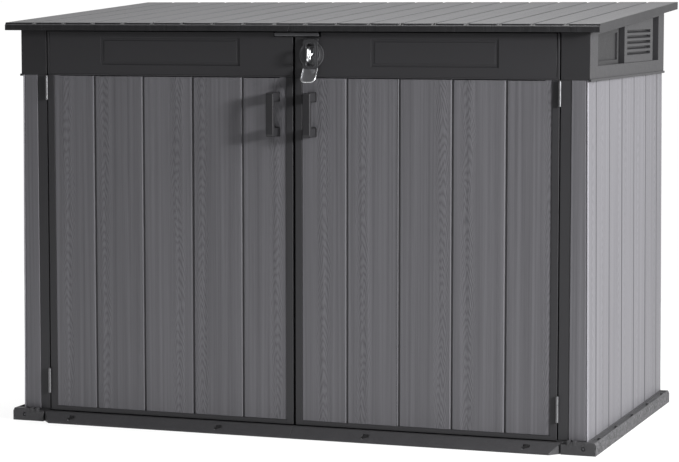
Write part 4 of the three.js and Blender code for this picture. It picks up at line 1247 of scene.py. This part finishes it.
class STORAGE_OT_struts(BuildOperator):
    """Makes the gas struts that carry the lid, with their brackets."""

    bl_idname = "storage_box.struts"
    bl_label = "Gas struts"

    def execute(self, context):
        for side, sign in SIDES:
            self.strut(side, sign)
            shell(f"strut_wall_bracket_{side}", "coated", 0.8 * MM)
            shell(f"strut_lid_bracket_{side}", "coated", 0.8 * MM)
            low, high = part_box(f"strut_wall_bracket_{side}")
            inner = low.x + 4 * MM if sign < 0 else high.x - 4.2 * MM
            for k, y in enumerate((low.y + 8 * MM, high.y - 8 * MM)):
                place = Vector((sign * 0.8805, y, low.z + 8 * MM))
                screw(f"strut_screw_{side}_{k + 1}", place, (-sign, 0, 0), "carcass", 3.6 * MM)
        return {"FINISHED"}

    def strut(self, side, sign):
        foot = Vector(JOINT[f"strut_{side}_pivot"]["pos_m"])
        along = Vector(JOINT[f"strut_{side}_slide"]["axis"]).normalized()
        head_low, head_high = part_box(f"strut_rod_{side}")
        length = math.hypot(0.08, 0.195)
        turn = Matrix.Translation(foot) @ along.to_track_quat("Z", "X").to_matrix().to_4x4()
        edge = 1.4 * MM
        tube_top = length - 19 * MM
        tube = [
            (4.3 * MM, 18 * MM), (4.3 * MM, tube_top), (6.2 * MM, tube_top), (6.8 * MM, tube_top - 0.8 * MM),
            (8.2 * MM, tube_top - 3 * MM), (8.9 * MM, tube_top - 5 * MM), (9 * MM, tube_top - 7 * MM),
            (9 * MM, 14 * MM), (8.2 * MM, 10.5 * MM), (6 * MM, 8.5 * MM), (0, 8.5 * MM)]
        tube = [(0, 18 * MM)] + tube
        shape = lathe(bmesh.new(), tube, "Z", Vector((0, 0, 0)), 40)
        bmesh.ops.transform(shape, matrix=turn, verts=shape.verts)
        lathe(shape, rounded_tube(10 * MM, 5.4 * MM, foot.x - 4 * MM, foot.x + 4 * MM, 0.9 * MM), "X",
              Vector((0, foot.y, foot.z)), 40)
        node = f"strut_cylinder_{side}"
        new_piece(f"gas_tube_{side}", to_mesh(shape, node), "coated", BODY_OF[node], node)
        stem = lathe(bmesh.new(), rounded_bar(4 * MM, 20 * MM, length - 3 * MM, edge / 2), "Z",
                     Vector((0, 0, 0)), 32)
        bmesh.ops.transform(stem, matrix=turn, verts=stem.verts)
        head = foot + along * length
        lathe(stem, rounded_bar(9 * MM, foot.x - 4 * MM, foot.x + 4 * MM, 1.2 * MM), "X",
              Vector((0, head.y, head.z)), 40)
        node = f"strut_rod_{side}"
        new_piece(f"gas_rod_{side}", to_mesh(stem, node), "zinc", BODY_OF[node], node)


class STORAGE_PT_panel(bpy.types.Panel):
    """Lists the building steps in the 3D view's sidebar."""

    bl_label = "Storage Box"
    bl_idname = "STORAGE_PT_panel"
    bl_space_type = "VIEW_3D"
    bl_region_type = "UI"
    bl_category = "Storage Box"

    def draw(self, context):
        for group in (settings().colours, settings().sizes):
            box = self.layout.box()
            for name in group.__annotations__:
                box.prop(group, name)
        for step in STEPS:
            self.layout.operator(step.bl_idname)


GROUPS = (StorageBoxColours, StorageBoxSizes, StorageBoxSettings)
STEPS = (
    STORAGE_OT_stage, STORAGE_OT_base, STORAGE_OT_walls, STORAGE_OT_lid, STORAGE_OT_lid_hinge,
    STORAGE_OT_doors, STORAGE_OT_door_hinges, STORAGE_OT_handles, STORAGE_OT_latch,
    STORAGE_OT_struts,
)


def register():
    for item in (*GROUPS, *STEPS, STORAGE_PT_panel):
        bpy.utils.register_class(item)
    bpy.types.Scene.storage_box = bpy.props.PointerProperty(type=StorageBoxSettings)


def unregister():
    del bpy.types.Scene.storage_box
    for item in reversed((*GROUPS, *STEPS, STORAGE_PT_panel)):
        bpy.utils.unregister_class(item)


def main():
    register()
    for step in STEPS:
        group, name = step.bl_idname.split(".")
        getattr(getattr(bpy.ops, group), name)()


if __name__ == "__main__":
    main()
